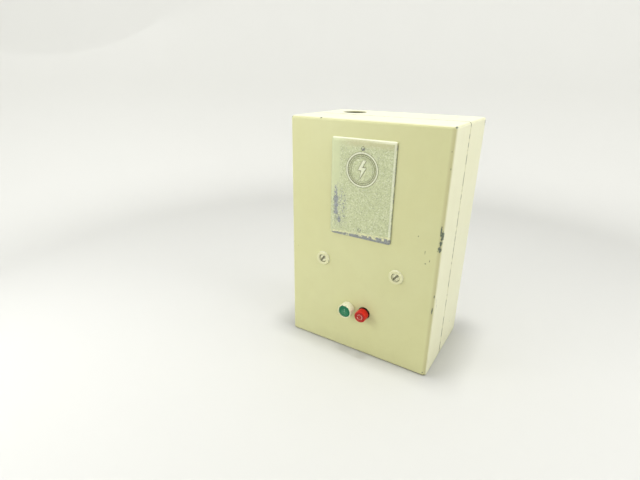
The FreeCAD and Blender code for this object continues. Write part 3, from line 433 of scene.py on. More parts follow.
def nodeGroup(output):
    # Makes a recipe, which is a function of values, into a node group built once: each argument is an
    # input of that name, a number where it has one for a default and a vector otherwise. The function
    # that stands in its place puts the group into the tree that its first argument belongs to
    def build(recipe):
        group = bpy.data.node_groups.new(recipe.__name__, "ShaderNodeTree")
        arguments = inspect.signature(recipe).parameters
        for name, argument in arguments.items():
            kind = "NodeSocketFloat" if isinstance(argument.default, float) else "NodeSocketVector"
            socket = group.interface.new_socket(name.title(), in_out="INPUT", socket_type=kind)
            if argument.default is not argument.empty:
                socket.default_value = argument.default
        group.interface.new_socket(output, in_out="OUTPUT", socket_type="NodeSocketFloat")
        given = group.nodes.new("NodeGroupInput").outputs
        result = recipe(*[ShaderValue(group, given[name.title()]) for name in arguments])
        group.links.new(result.socket, group.nodes.new("NodeGroupOutput").inputs[output])

        def place(vector, **values):
            inputs = {"Vector": vector, **{name.title(): value for name, value in values.items()}}
            return fromNode(vector.tree, "Group", inputs, node_tree=group)
        return place
    return build


@nodeGroup("Value")
def softPatches(vector, scale=20.0, contrast=2.0):
    # Broad soft patches, from 0 to 1: layered noise with its middle stretched by the contrast
    spread = 0.5 / contrast
    return fade(noiseAt(vector, scale, 4.0, 0.6), 0.5 - spread, 0.5 + spread)


@nodeGroup("Mask")
def fineSpecks(vector, scale=600.0, share=0.2, size=0.3):
    # Small round specks: a cell's middle shows where the cell's own random number is under the share
    waver = fromNode(vector.tree, "TexNoise", {"Vector": vector, "Scale": scale * 1.4}, "Color")
    bent = vectorCalc("MULTIPLY_ADD", waver, (0.0006, 0.0006, 0.0006), vector)
    cell = addNode(vector.tree, "TexVoronoi", {"Vector": bent, "Scale": scale}).outputs
    chance = fromNode(vector.tree, "SeparateColor", {0: ShaderValue(vector.tree, cell["Color"])})
    core = below(ShaderValue(vector.tree, cell["Distance"]), size * 0.6, size)
    return core * calc("LESS_THAN", chance, share)


@nodeGroup("Mask")
def fineScratches(vector, tilt=0.4, length=0.06, scale=160.0, share=0.35):
    # Thin broken lines: the level line of a noise stretched along one direction, kept only in patches
    turned = fromNode(vector.tree, "VectorRotate", {"Vector": vector, "Angle": tilt}, rotation_type="Y_AXIS")
    stretch = fromNode(vector.tree, "CombineXYZ", {0: 1.0, 1: 1.0, 2: length})
    wave = noiseAt(vectorCalc("MULTIPLY", turned, stretch), scale, 2.0, 0.6)
    kept = fade(noiseAt(vector, 45.0, 2.0), 0.72 - share * 0.3, 0.75)
    return below(abs(wave - 0.5), 0.001, 0.006) * kept


@nodeGroup("Value")
def metalGrain(vector, squeeze=(1.0, 1.0, 0.04), scale=900.0):
    # Rolling or brushing lines: noise squeezed to a thin thread along the chosen direction
    return noiseAt(vectorCalc("MULTIPLY", vector, squeeze), scale, 3.0, 0.65)


@nodeGroup("Mask")
def edgeWear(vector, radius=0.0006, amount=0.5, breakup=500.0):
    # Where a surface turns sharply: one less the match between the rounded normal and the true one,
    # broken up by noise
    rounded = fromNode(vector.tree, "Bevel", {"Radius": radius}, samples=4)
    plain = fromNode(vector.tree, "NewGeometry", output="True Normal")
    turn = 1.0 - vectorCalc("DOT_PRODUCT", rounded, plain, output="Value")
    low = 1.0 - amount
    strength = turn * 3.0 + noiseAt(vector, breakup, 4.0, 0.7) * 0.9
    return fade(strength, low, low + 0.25) * fade(turn, 0.01, 0.06)


def faceDistances(vector, low, high):
    # How far a place is from the nearer of a box's two faces in X, in Y and in Z
    inward = vectorCalc("SUBTRACT", vector, low)
    return xyz(vectorCalc("MINIMUM", inward, vectorCalc("SUBTRACT", high, vector)))


@nodeGroup("Mask")
def boxEdgeWear(vector, low=(0.0, 0.0, 0.0), high=(1.0, 1.0, 1.0), width=0.003, amount=0.4, breakup=180.0):
    # Nearness to the edges of a box: the middle one of the three distances to its nearest faces is 0
    # on an edge. The mask falls from 1 there to 0 at the width, broken up by noise
    a, b, c = faceDistances(vector, low, high)
    middle = largest(calc("MINIMUM", a, b), calc("MINIMUM", calc("MAXIMUM", a, b), c))
    rough = noiseAt(vectorCalc("MULTIPLY", vector, (1.0, 1.0, 0.55)), breakup, 5.0, 0.65)
    limit = 1.0 - amount
    return fade(below(middle, 0.0, width) * rough, limit, limit + 0.03)


@nodeGroup("Mask")
def insideBox(vector, low=(0.0, 0.0, 0.0), high=(1.0, 1.0, 1.0), depth=0.0012):
    # 1 where a surface lies deeper in a box than the depth, from the nearest of its six faces
    a, b, c = faceDistances(vector, low, high)
    return fade(calc("MINIMUM", calc("MINIMUM", a, b), c), depth * 0.8, depth)


@nodeGroup("Mask")
def paintKnock(vector, centre=(0.0, 0.0, 0.0), size=(1.0, 1.0, 1.0), rough=0.5):
    # One knock in the paint: a blob about the centre, as large as the size each way, with an edge that
    # the given roughness (0 to 1) eats into
    away = vectorCalc("DIVIDE", vectorCalc("SUBTRACT", vector, centre), size)
    return below(rough * 1.6 + vectorCalc("LENGTH", away, output="Value"), 1.35, 1.5)


@nodeGroup("Mask")
def settledDust(vector, amount=0.4, scale=90.0):
    # Dust lies where a surface looks up, in uneven patches
    up = xyz(fromNode(vector.tree, "NewGeometry", output="Normal"))[2]
    return fade(up, 0.35, 0.95) * fade(noiseAt(vector, scale, 5.0, 0.7), 0.35, 0.75) * amount


@nodeGroup("Height")
def enamelPeel(vector, scale=420.0, broad=0.4):
    # The soft ripple of sprayed enamel: a fine and a broad noise added as a height from 0 to 1
    return noiseAt(vector, scale, 2.0, 0.5) + noiseAt(vector, scale * 0.06, 2.0, 0.5) * broad


print("shader groups made")


class Finish:
    # A material in the making: its shader, the place on the piece, and the colour laid on so far

    def __init__(self, name, look, first):
        self.look = look
        self.material = bpy.data.materials.new(name)
        self.material.use_nodes = True
        self.tree = self.material.node_tree
        self.tree.nodes.clear()
        self.shader = addNode(self.tree, "BsdfPrincipled")
        output = addNode(self.tree, "OutputMaterial")
        self.tree.links.new(self.shader.outputs[0], output.inputs["Surface"])
        self.place = fromNode(self.tree, "TexCoord", output="Object")
        self.colour = look[first]

    def mixed(self, mask, under, over):
        # The under colour where the mask is 0 and the over colour where it is 1
        ends = [end if isinstance(end, ShaderValue) else (*end, 1.0) for end in (under, over)]
        return fromNode(self.tree, "Mix", {0: mask, 6: ends[0], 7: ends[1]}, 2, data_type="RGBA")

    def tint(self, mask, over):
        # Lays another colour over the one so far, through the mask. A name stands for a colour of the look
        self.colour = self.mixed(mask, self.colour, self.look[over] if isinstance(over, str) else over)

    def attribute(self, name):
        # A number that the mesh carries at each of its points
        return fromNode(self.tree, "Attribute", output="Fac", attribute_name=name)

    def normal(self):
        # The direction that the surface looks in
        return xyz(fromNode(self.tree, "NewGeometry", output="Normal"))

    def close(self, roughness, height, depth, metallic=None, roundEdge=0.0, specular=None):
        # Feeds the shader, with the height as a bump that deep, on edges rounded for the light only
        bump = addNode(self.tree, "Bump", {"Height": height, "Distance": depth, "Strength": 1.0})
        if roundEdge:
            bevel = addNode(self.tree, "Bevel", {"Radius": roundEdge}, samples=4)
            self.tree.links.new(bevel.outputs[0], bump.inputs["Normal"])
        links = {"Base Color": self.colour, "Roughness": roughness, "Metallic": metallic,
                 "Normal": ShaderValue(self.tree, bump.outputs[0])}
        for label, value in links.items():
            if value is not None:
                self.tree.links.new(value.socket, self.shader.inputs[label])
        if specular is not None:
            self.shader.inputs["Specular IOR Level"].default_value = specular
        return self.material


enamel = {
    "fresh": (0.615, 0.615, 0.335),
    "aged": (0.585, 0.57, 0.275),
    # painted light: the paler colour of the sides and the top, where the light falls
    "faded": (0.72, 0.715, 0.54),
    "grime": (0.42, 0.38, 0.20),
    "inside": (0.36, 0.35, 0.24),
    "seamDirtAndShade": (0.075, 0.07, 0.035),
    "primer": (0.16, 0.19, 0.13),
    "steel": (0.07, 0.085, 0.06),
    "handled": 0.42,  # how much painted shade darkens the front along its right-hand bend
    "rightBendShadeFrom": (0.1035, 0.1072),  # X at which that painted shade starts and is full
    "seamReach": (0.0019, 0.0023),  # from the seam to the end of its dirt and painted shadow
    "roughness": 0.36,
    "specular": 0.45,
    "peelDepth": 0.00006,
    "chipDepth": 0.0003,
    # place and reach in mm of each knock that the box has taken
    "knocks": [
        ((108.4, -62.4, 206.0), (3.2, 2.8, 9.0)), ((107.8, -62.6, 196.0), (2.8, 2.4, 4.6)),
        ((107.0, -62.8, 188.0), (3.6, 2.8, 5.4)), ((106.6, -63.2, 211.0), (1.4, 1.6, 11.0)),
        ((79.8, -63.2, 200.0), (0.7, 1.0, 1.0)), ((90.2, -63.2, 181.0), (0.5, 1.0, 4.5)),
        ((92.0, -63.2, 166.0), (1.9, 1.0, 0.8)), ((97.0, -63.2, 171.0), (0.5, 1.0, 2.4)),
        ((108.8, -61.5, 330.8), (2.4, 3.4, 1.7)), ((-63.0, -62.2, 331.2), (2.2, 2.2, 1.6)),
        ((110.0, 74.2, 325.0), (3.0, 4.2, 6.0)), ((110.0, 75.5, 331.8), (2.6, 5.0, 2.0)),
        ((110.0, -57.0, 116.0), (1.0, 0.6, 5.0)), ((110.0, -54.0, 107.0), (1.0, 0.7, 4.0)),
        ((107.6, -62.9, 104.0), (1.3, 1.2, 8.0)), ((108.0, -62.6, 124.0), (0.9, 1.0, 3.5)),
        ((107.2, -63.2, 304.7), (0.8, 1.0, 0.9)), ((108.2, -63.0, 285.5), (0.7, 1.0, 2.2)),
        ((110.0, 35.9, 35.7), (1.0, 0.9, 1.3)), ((105.5, -62.9, 5.5), (1.6, 1.4, 1.6)),
        ((107.5, -62.0, 2.2), (3.0, 2.4, 1.8)), ((-108.8, -62.0, 2.0), (2.4, 2.2, 2.6)),
        ((-109.2, -62.6, 330.6), (2.6, 2.6, 2.6)), ((-109.2, -61.8, 150.0), (1.8, 2.0, 3.4)),
        ((-109.6, 75.6, 120.0), (2.0, 2.4, 7.0)), ((-40.0, 76.75, 240.0), (1.2, 1.0, 5.0)),
        ((30.0, 76.75, 90.0), (6.0, 1.0, 0.8)), ((-110.0, 30.0, 210.0), (1.0, 5.0, 0.9)),
    ],
}
# Paler copies of the enamel for the screw collars and the start guard: painted light, standing in for the
# light on their raised tops
collarEnamel = {**enamel, "fresh": (0.68, 0.675, 0.41), "aged": (0.63, 0.615, 0.34)}
guardEnamel = {**enamel, "fresh": (0.79, 0.78, 0.54), "aged": (0.74, 0.72, 0.46), "faded": (0.80, 0.79, 0.60)}
# knocks in the front rim of the start guard, in mm from its top front middle: right, back, down and reach
guardKnocks = ((-3.4, 0.4, 0.9, 1.3), (2.6, 0.6, 0.6, 1.0), (-0.6, 5.5, 0.0, 0.8), (6.2, 0.3, 3.0, 0.9))


def knocksOfGuard():
    # The guard's knocks in the box's own millimetres
    low, high = np.array(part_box("start_guard")) / mm
    middle = (low[0] + high[0]) / 2
    return [((middle + x, low[1] + y, high[2] - 1.6 - drop), (reach,) * 3)
            for x, y, drop, reach in guardKnocks]


def makeEnamel(name, look, knocks):
    # Old almond enamel over grey-green primer: yellowed in patches, and painted paler on the sides and the
    # top for the light that falls on them. Duller inside, with painted shade there. Dirty along the seam,
    # with its gap's shadow painted in, and painted shade along the front's right-hand bend. Rubbed at the
    # edges, chipped and knocked
    finish = Finish(name, look, "fresh")
    place = finish.place
    patches = softPatches(place, scale=9.0, contrast=2.2)
    finish.tint(patches * 0.35, "aged")
    facing = finish.normal()
    # Painted light: the sides and the top are made paler by the way they face, and this partly stands for the
    # front's stronger yellowing
    side = fade(abs(facing[0]), 0.5, 0.9) * 0.75
    finish.tint(largest(side, fade(facing[2], 0.5, 0.95)), "faded")
    mottle = softPatches(place, scale=70.0, contrast=1.6)
    finish.tint(mottle * 0.07, "grime")
    x, y, z = xyz(place)
    low = below(z, 0.0, 0.03)
    finish.tint(low * mottle * 0.12, "grime")
    # Painted shade along the front's right-hand bend
    handled = fade(x, *look["rightBendShadeFrom"]) * fade(facing[1] * -1.0, 0.6, 0.9)
    finish.tint(handled * look["handled"], "grime")
    corners = {"low": [float(boxLow[0]), float(coverLow[1]), float(boxLow[2])], "high": boxHigh.tolist()}
    # Duller and darker inside: thinner paint, and painted shade of the closed box
    finish.tint(insideBox(place, depth=0.0012, **corners) * (mottle * 0.2 + 0.45), "inside")
    ragged = noiseAt(place, 480.0, 3.0, 0.6)
    # Dirt along the seam, widened into a dark dashed band that also stands for the painted shadow of its gap
    offSeam = ragged * 0.0014 + abs(y - (float(coverHigh[1]) + 0.0005))
    gaps = low * 0.12 + noiseAt(vectorCalc("MULTIPLY", place, (0.4, 0.0, 1.0)), 170.0, 3.0, 0.6)
    finish.tint(below(offSeam, *look["seamReach"]) * fade(gaps, 0.44, 0.52) * 0.85, "seamDirtAndShade")
    finish.tint(fineScratches(place, tilt=0.5, length=0.05, scale=120.0, share=0.35) * 0.22, "grime")
    finish.tint(boxEdgeWear(place, width=0.0045, amount=0.74, breakup=55.0, **corners) * 0.22, "grime")
    chips = [paintKnock(place, centre=[v * mm for v in centre], size=[v * mm for v in size], rough=ragged)
             for centre, size in knocks]
    specks = fineSpecks(place, scale=110.0, share=0.012, size=0.07) * 0.8
    bare = largest(boxEdgeWear(place, width=0.0034, amount=0.36, breakup=260.0, **corners), *chips, specks)
    metalPatch = fade(noiseAt(place, 700.0, 3.0), 0.45, 0.6)
    finish.tint(bare, finish.mixed(metalPatch, look["primer"], look["steel"]))
    rough = largest(patches * 0.10 + look["roughness"], bare * 0.55)
    peel = enamelPeel(place, scale=420.0, broad=1.6)
    height = peel - bare * (look["chipDepth"] / look["peelDepth"])
    return finish.close(rough, height, look["peelDepth"], roundEdge=0.0003, specular=look["specular"])


dustColour = (0.46, 0.43, 0.35)
brightDust = (0.50, 0.47, 0.38)
metals = {
    "zinc_steel": {
        "colour": (0.60, 0.61, 0.57), "tarnish": (0.40, 0.39, 0.31), "share": 0.55, "grain": (1.0, 1.0, 0.05),
        "grainScale": 700.0, "grainDepth": 0.00002, "roughness": 0.34, "spots": (0.20, 0.17, 0.12),
        "spotShare": 0.05, "edge": (0.78, 0.78, 0.76), "edgeAmount": 0.45, "dust": 0.45, "metallic": 0.92},
    "screw_steel": {
        "colour": (0.63, 0.62, 0.56), "tarnish": (0.38, 0.35, 0.25), "share": 0.6, "grain": (1.0, 1.0, 1.0),
        "grainScale": 1500.0, "grainDepth": 0.00002, "roughness": 0.38, "spots": (0.15, 0.12, 0.08),
        "spotShare": 0.12, "edge": (0.82, 0.82, 0.80), "edgeAmount": 0.5, "dust": 0.2, "metallic": 0.85},
    "contact_brass": {
        "colour": (0.74, 0.55, 0.26), "tarnish": (0.36, 0.24, 0.11), "share": 0.6, "grain": (0.06, 1.0, 1.0),
        "grainScale": 900.0, "grainDepth": 0.00001, "roughness": 0.30, "spots": (0.16, 0.11, 0.06),
        "spotShare": 0.08, "edge": (0.86, 0.68, 0.36), "edgeAmount": 0.4, "dust": 0.3, "metallic": 1.0},
    "copper_strap": {
        "colour": (0.72, 0.38, 0.25), "tarnish": (0.30, 0.14, 0.09), "share": 0.65, "grain": (1.0, 1.0, 0.05),
        "grainScale": 800.0, "grainDepth": 0.00001, "roughness": 0.33, "spots": (0.12, 0.16, 0.12),
        "spotShare": 0.06, "edge": (0.88, 0.55, 0.38), "edgeAmount": 0.4, "dust": 0.3, "metallic": 1.0},
    "core_steel": {
        "colour": (0.24, 0.24, 0.25), "tarnish": (0.15, 0.11, 0.08), "share": 0.6, "grain": (1.0, 0.03, 1.0),
        "grainScale": 900.0, "grainDepth": 0.00003, "roughness": 0.42, "spots": (0.26, 0.11, 0.05),
        "spotShare": 0.16, "edge": (0.50, 0.50, 0.50), "edgeAmount": 0.45, "dust": 0.3, "metallic": 0.9},
    "spring_wire": {
        "colour": (0.50, 0.50, 0.50), "tarnish": (0.30, 0.27, 0.22), "share": 0.5, "grain": (1.0, 1.0, 1.0),
        "grainScale": 2200.0, "grainDepth": 0.000008, "roughness": 0.26, "spots": (0.18, 0.14, 0.10),
        "spotShare": 0.05, "edge": (0.62, 0.62, 0.62), "edgeAmount": 0.2, "dust": 0.15, "metallic": 1.0},
    "heater_alloy": {
        "colour": (0.46, 0.43, 0.38), "tarnish": (0.24, 0.20, 0.20), "share": 0.7, "grain": (1.0, 1.0, 0.2),
        "grainScale": 1200.0, "grainDepth": 0.00002, "roughness": 0.45, "spots": (0.14, 0.10, 0.12),
        "spotShare": 0.10, "edge": (0.60, 0.57, 0.52), "edgeAmount": 0.3, "dust": 0.3, "metallic": 0.9},
    "ground_green": {
        "colour": (0.06, 0.24, 0.11), "tarnish": (0.04, 0.14, 0.07), "share": 0.5, "grain": (1.0, 1.0, 1.0),
        "grainScale": 1200.0, "grainDepth": 0.00002, "roughness": 0.36, "spots": (0.40, 0.40, 0.36),
        "spotShare": 0.10, "edge": (0.50, 0.50, 0.46), "edgeAmount": 0.6, "dust": 0.25, "metallic": 0.1},
}


def makeMetal(name, look):
    # Bare or plated metal: a rolled grain, tarnish in soft patches, dark spots, polished edges and dust
    finish = Finish(name, look, "colour")
    place = finish.place
    grain = metalGrain(place, squeeze=look["grain"], scale=look["grainScale"])
    patches = softPatches(place, scale=110.0, contrast=2.4)
    broad = softPatches(place, scale=26.0, contrast=1.6)
    dull = (broad * 0.6 + patches * 0.4) * look["share"]
    finish.tint(dull, "tarnish")
    finish.tint(grain * 0.22, "tarnish")
    spots = fineSpecks(place, scale=420.0, share=look["spotShare"], size=0.42)
    finish.tint(spots * 0.75, "spots")
    finish.tint(edgeWear(place, radius=0.0004, amount=look["edgeAmount"], breakup=700.0) * 0.8, "edge")
    dust = settledDust(place, amount=look["dust"], scale=120.0)
    finish.tint(dust, brightDust)
    rough = largest(grain * 0.10 + (dull * 0.22 + look["roughness"]), dust * 0.9)
    metallic = (1.0 - largest(dust, spots * 0.8)) * look["metallic"]
    return finish.close(rough, grain, look["grainDepth"], metallic, 0.00022)


moulded = {
    "black_phenolic": {
        "colour": (0.022, 0.021, 0.020), "flow": (0.045, 0.041, 0.036), "filler": (0.09, 0.08, 0.07),
        "fillerShare": 0.14, "roughness": 0.36, "edge": (0.16, 0.15, 0.13), "dust": 0.38, "specular": 0.5},
    "brown_phenolic": {
        "colour": (0.070, 0.030, 0.018), "flow": (0.11, 0.050, 0.028), "filler": (0.17, 0.09, 0.05),
        "fillerShare": 0.16, "roughness": 0.38, "edge": (0.26, 0.16, 0.10), "dust": 0.38, "specular": 0.5},
    "white_melamine": {
        "colour": (0.72, 0.69, 0.58), "flow": (0.62, 0.57, 0.43), "filler": (0.50, 0.44, 0.32),
        "fillerShare": 0.10, "roughness": 0.34, "edge": (0.80, 0.78, 0.70), "dust": 0.32, "specular": 0.5},
    "nylon": {
        "colour": (0.66, 0.60, 0.44), "flow": (0.56, 0.48, 0.32), "filler": (0.44, 0.36, 0.24),
        "fillerShare": 0.05, "roughness": 0.42, "edge": (0.74, 0.70, 0.56), "dust": 0.3, "specular": 0.4},
}


def makeMoulded(name, look):
    # Moulded resin: flow marks, a fine mineral filler, rubbed edges and dust on its ledges
    finish = Finish(name, look, "colour")
    place = finish.place
    flow = softPatches(place, scale=48.0, contrast=2.6)
    finish.tint(flow * 0.7, "flow")
    finish.tint(fineSpecks(place, scale=1400.0, share=look["fillerShare"], size=0.5) * 0.6, "filler")
    scuffs = fineScratches(place, tilt=0.9, length=0.08, scale=260.0, share=0.4)
    edge = edgeWear(place, radius=0.0005, amount=0.40, breakup=520.0)
    finish.tint(largest(edge, scuffs * 0.5) * 0.6, "edge")
    dust = settledDust(place, amount=look["dust"], scale=80.0)
    finish.tint(dust, dustColour)
    rough = largest(flow * 0.14 + look["roughness"], (dust + scuffs) * 0.85)
    height = enamelPeel(place, scale=900.0, broad=0.8)
    return finish.close(rough, height, 0.00002, roundEdge=0.0003, specular=look["specular"])


buttonCaps = {
    "green_cap": {
        "colour": (0.020, 0.235, 0.105), "deep": (0.010, 0.14, 0.065), "mark": (0.30, 0.50, 0.36),
        "worn": (0.14, 0.36, 0.22), "dirt": (0.012, 0.010, 0.007), "seatShadow": 0.0, "markShare": 0.75},
    "red_cap": {
        "colour": (0.62, 0.014, 0.006), "deep": (0.30, 0.008, 0.006), "mark": (0.80, 0.72, 0.64),
        "worn": (0.60, 0.14, 0.10), "dirt": (0.012, 0.010, 0.007), "seatShadow": 1.0, "markShare": 0.8},
}


def makeButtonCap(name, look):
    # Coloured moulded cap, its cut mark filled with paint that has half worn out, scuffed where it is
    # pressed, its face painted darker as shade, and the stop cap's base painted black as the shadow of its
    # gap
    finish = Finish(name, look, "colour")
    place = finish.place
    patches = softPatches(place, scale=170.0, contrast=2.0)
    finish.tint(patches * 0.5, "deep")
    scuffs = fineScratches(place, tilt=0.7, length=0.10, scale=420.0, share=0.95)
    # Painted shade: the face is darker than the skirt
    finish.tint(finish.attribute("face") * 0.75, "deep")
    rubbed = fade(noiseAt(place, 620.0, 4.0, 0.7), 0.42, 0.62)
    finish.tint(finish.attribute("press") * rubbed * 0.55, "worn")
    finish.tint(scuffs * 0.5, "worn")
    lost = fade(noiseAt(place, 380.0, 3.0, 0.6), 0.46, 0.54)
    filled = finish.attribute("mark") * lost * look["markShare"]
    finish.tint(filled, "mark")
    finish.tint(edgeWear(place, radius=0.0006, amount=0.46, breakup=600.0) * 0.35, "worn")
    # Painted shadow: the stop cap's base, where it enters the cover, is near black as the shadow of the gap
    # round it
    finish.tint(finish.attribute("seat") * look["seatShadow"], "dirt")
    rough = largest(patches * 0.10 + 0.30, largest(scuffs, filled) * 0.6)
    height = enamelPeel(place, scale=1200.0, broad=0.6)
    return finish.close(rough, height, 0.00002, specular=0.25)


coilTape = {"colour": (0.13, 0.085, 0.035), "thread": (0.24, 0.17, 0.08), "varnish": (0.05, 0.03, 0.012),
            "threads": 5700.0}  # radians of weave in a metre


def makeTape(name, look):
    # Varnished cotton tape: two sets of crossing threads, darker where the varnish pooled
    finish = Finish(name, look, "colour")
    place = finish.place
    x, y, z = xyz(place)
    weave = calc("SINE", (x + y) * look["threads"]) * calc("SINE", z * look["threads"]) * 0.5 + 0.5
    pooled = softPatches(place, scale=95.0, contrast=2.2)
    finish.tint(weave * 0.7, "thread")
    finish.tint(pooled * 0.65, "varnish")
    finish.tint(settledDust(place, amount=0.35, scale=90.0), dustColour)
    return finish.close(pooled * -0.22 + 0.58, weave, 0.00006)


platePaint = {
    "paint": (0.575, 0.615, 0.365),
    "shade": (0.485, 0.535, 0.31),
    "warm": (0.50, 0.475, 0.27),
    "pale": (0.83, 0.84, 0.68),
    "cream": (0.76, 0.74, 0.43),
    "pit": (0.16, 0.19, 0.11),
    "metal": (0.37, 0.39, 0.39),
    "darkMetal": (0.17, 0.185, 0.18),
    "dirt": (0.10, 0.095, 0.04),
    "leftMargin": 0.011,  # m of unpitted paint down the upper left
    "footLeft": 0.0030,  # height of the bare foot at the left and at the right
    "footRight": 0.0085,
    "streak": ((-0.0360, 0.2245), (0.0040, 0.029)),  # place and reach of the wear at the lower left
    "scatter": ((-0.0300, 0.2200), (0.0130, 0.034)),
    "spot": ((-0.0308, 0.2010), (0.0030, 0.0052)),
    "roughness": 0.42,
}


def nearness(x, z, centre, size):
    # Distance from a place on the plate's face, in shares of the size each way
    x, z = (x - centre[0]) / size[0], (z - centre[1]) / size[1]
    return calc("SQRT", x * x + z * z)


def makePlatePaint(name, look):
    # Thin green-cream paint on a cast plate: pitted all over but for its left and top margins, flaked to the
    # metal along the foot, streaked at the lower left, pale on the high lines (worn paint and painted
    # highlight) and dark beside them (dirt and painted shade), with painted highlights on its top edge and
    # its right bevel, painted shade inside that bevel and under its top edge, and darkened side faces
    finish = Finish(name, look, "paint")
    place = finish.place
    (left, _, foot), (right, _, top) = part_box("nameplate")
    wide = right - left
    x, _, z = xyz(place)
    relief, crevice, rim = (finish.attribute(label) for label in ("relief", "crevice", "rim"))
    ragged = noiseAt(place, 330.0, 5.0, 0.7)
    fine = noiseAt(place, 1100.0, 3.0, 0.7)
    finish.tint(softPatches(place, scale=60.0, contrast=1.8) * 0.45, "shade")
    topBand = fade(z, top - 0.013, top - 0.006)
    # Painted shade: the band under the top edge is darkened, as shade in a shallow hollow
    finish.tint(topBand * fade(x, left + 0.004, left + 0.034) * 0.7, "warm")
    leftBand = fade(x, left + look["leftMargin"], left + look["leftMargin"] + 0.004)
    pitted = (topBand * -0.75 + 1.0) * largest(leftBand, below(z, 0.225, 0.25))
    grit = fade(noiseAt(place, 1500.0, 4.0, 0.75), 0.53, 0.63) * 0.75
    specks = largest(fineSpecks(place, scale=880.0, share=0.42, size=0.50), grit,
                     fineSpecks(place, scale=520.0, share=0.16, size=0.36)) * pitted
    finish.tint(specks * 0.62, "pit")
    finish.tint(fineSpecks(place, scale=760.0, share=0.34, size=0.5) * pitted * 0.7, "pale")
    # Painted highlight on the right half of the rim's bevel, and painted shade along its inner edge
    bevel = fade(rim, 0.7, 1.2) * below(rim, 3.0, 3.6) * fade(x, left + 0.5 * wide, right)
    finish.tint(bevel * 0.5, "pale")
    inner = fade(rim, 3.4, 3.9) * below(rim, 4.3, 4.9) * fade(x, left + 0.8 * wide, right)
    finish.tint(inner * 0.45, "shade")
    # height over the line that runs up along the foot from left to right
    over = z - ((x - left) * ((look["footRight"] - look["footLeft"]) / wide) + (foot + look["footLeft"]))
    flaked = below(ragged * -0.006 + over, -0.0038, -0.0028)
    islands = fade(noiseAt(place, 210.0, 3.0, 0.6), 0.52, 0.56) * fade(over, -0.0052, -0.0026)
    cream = below(over, 0.0012, 0.0032) * fade(over, -0.0060, -0.0030) * fade(ragged, 0.42, 0.52)
    finish.tint(cream * 0.8, "cream")
    streak = below(ragged * 3.2 + nearness(x, z, *look["streak"]), 2.15, 2.40)
    scatter = below(nearness(x, z, *look["scatter"]), 0.55, 1.0)
    scatter = scatter * fade(noiseAt(place, 520.0, 4.0, 0.7), 0.52, 0.58)
    spot = below(ragged * 1.2 + nearness(x, z, *look["spot"]), 1.35, 1.5)
    flecks = fade(noiseAt(place, 260.0, 5.0, 0.75), 0.63, 0.66) * pitted * 0.7
    sideWear = below(rim, 0.1, 0.9) * below(z, top - 0.005, top - 0.003) * fade(ragged, 0.44, 0.56)
    worn = largest(flaked * (1.0 - islands), streak, scatter, spot, flecks, sideWear)
    finish.tint(worn, finish.mixed(fade(fine, 0.42, 0.62), look["metal"], look["darkMetal"]))
    # The high lines are pale, partly worn paint and partly painted highlight
    finish.tint(fade(relief, 0.14, 0.30) * fade(fine, 0.36, 0.50) * 0.75, "pale")
    # Dark in the hollows and beside the high lines, partly dirt and partly painted shade; the side faces are
    # darkened too
    hollow = below(relief, -0.45, -0.25) * fade(fine, 0.36, 0.52)
    gap = fade(crevice, 0.02, 0.10) * fade(fine, 0.30, 0.46)
    side = below(rim, -0.7, 0.0) * below(z, top - 0.004, top - 0.0025)
    finish.tint(largest(hollow, gap, side) * 0.85, "dirt")
    # Painted highlight along the plate's top edge
    finish.tint(fade(z, top - 0.0018, top - 0.0010) * 0.9, "pale")
    height = fine * 0.35 - largest(specks, worn * 0.6)
    return finish.close(specks * 0.18 + look["roughness"], height, 0.00012, worn * 0.6)


wornPaints = {
    "paintedScrew": {
        "paint": (0.74, 0.735, 0.50), "shade": (0.60, 0.59, 0.36), "bare": (0.40, 0.40, 0.36),
        "darkBare": (0.14, 0.14, 0.126), "bareShare": 0.60, "dirt": (0.16, 0.155, 0.09)},
    "paintedRivet": {
        "paint": (0.60, 0.64, 0.42), "shade": (0.42, 0.46, 0.29), "bare": (0.30, 0.31, 0.29),
        "darkBare": (0.105, 0.1085, 0.1015), "bareShare": 0.54, "dirt": (0.05, 0.048, 0.028)},
}


def makeWornPaint(name, look):
    # Paint brushed over a small metal head: worn off in blotches and at its edges, with dirt where the
    # dirt mark is
    finish = Finish(name, look, "paint")
    place = finish.place
    patches = softPatches(place, scale=260.0, contrast=2.0)
    finish.tint(patches * 0.6, "shade")
    fine = noiseAt(place, 900.0, 4.0, 0.7)
    blotches = fade(noiseAt(place, 420.0, 4.0, 0.7), look["bareShare"] - 0.03, look["bareShare"] + 0.02)
    bare = largest(blotches, edgeWear(place, radius=0.0005, amount=0.42, breakup=700.0))
    finish.tint(bare, finish.mixed(fade(fine, 0.42, 0.60), look["bare"], look["darkBare"]))
    grains = fineSpecks(place, scale=900.0, share=0.2, size=0.5)
    dirt = largest(finish.attribute("dirt") * fade(fine, 0.36, 0.52), grains * 0.7)
    finish.tint(dirt * 0.9, "dirt")
    return finish.close(patches * 0.15 + 0.40, fine - bare, 0.00006, bare * 0.8)


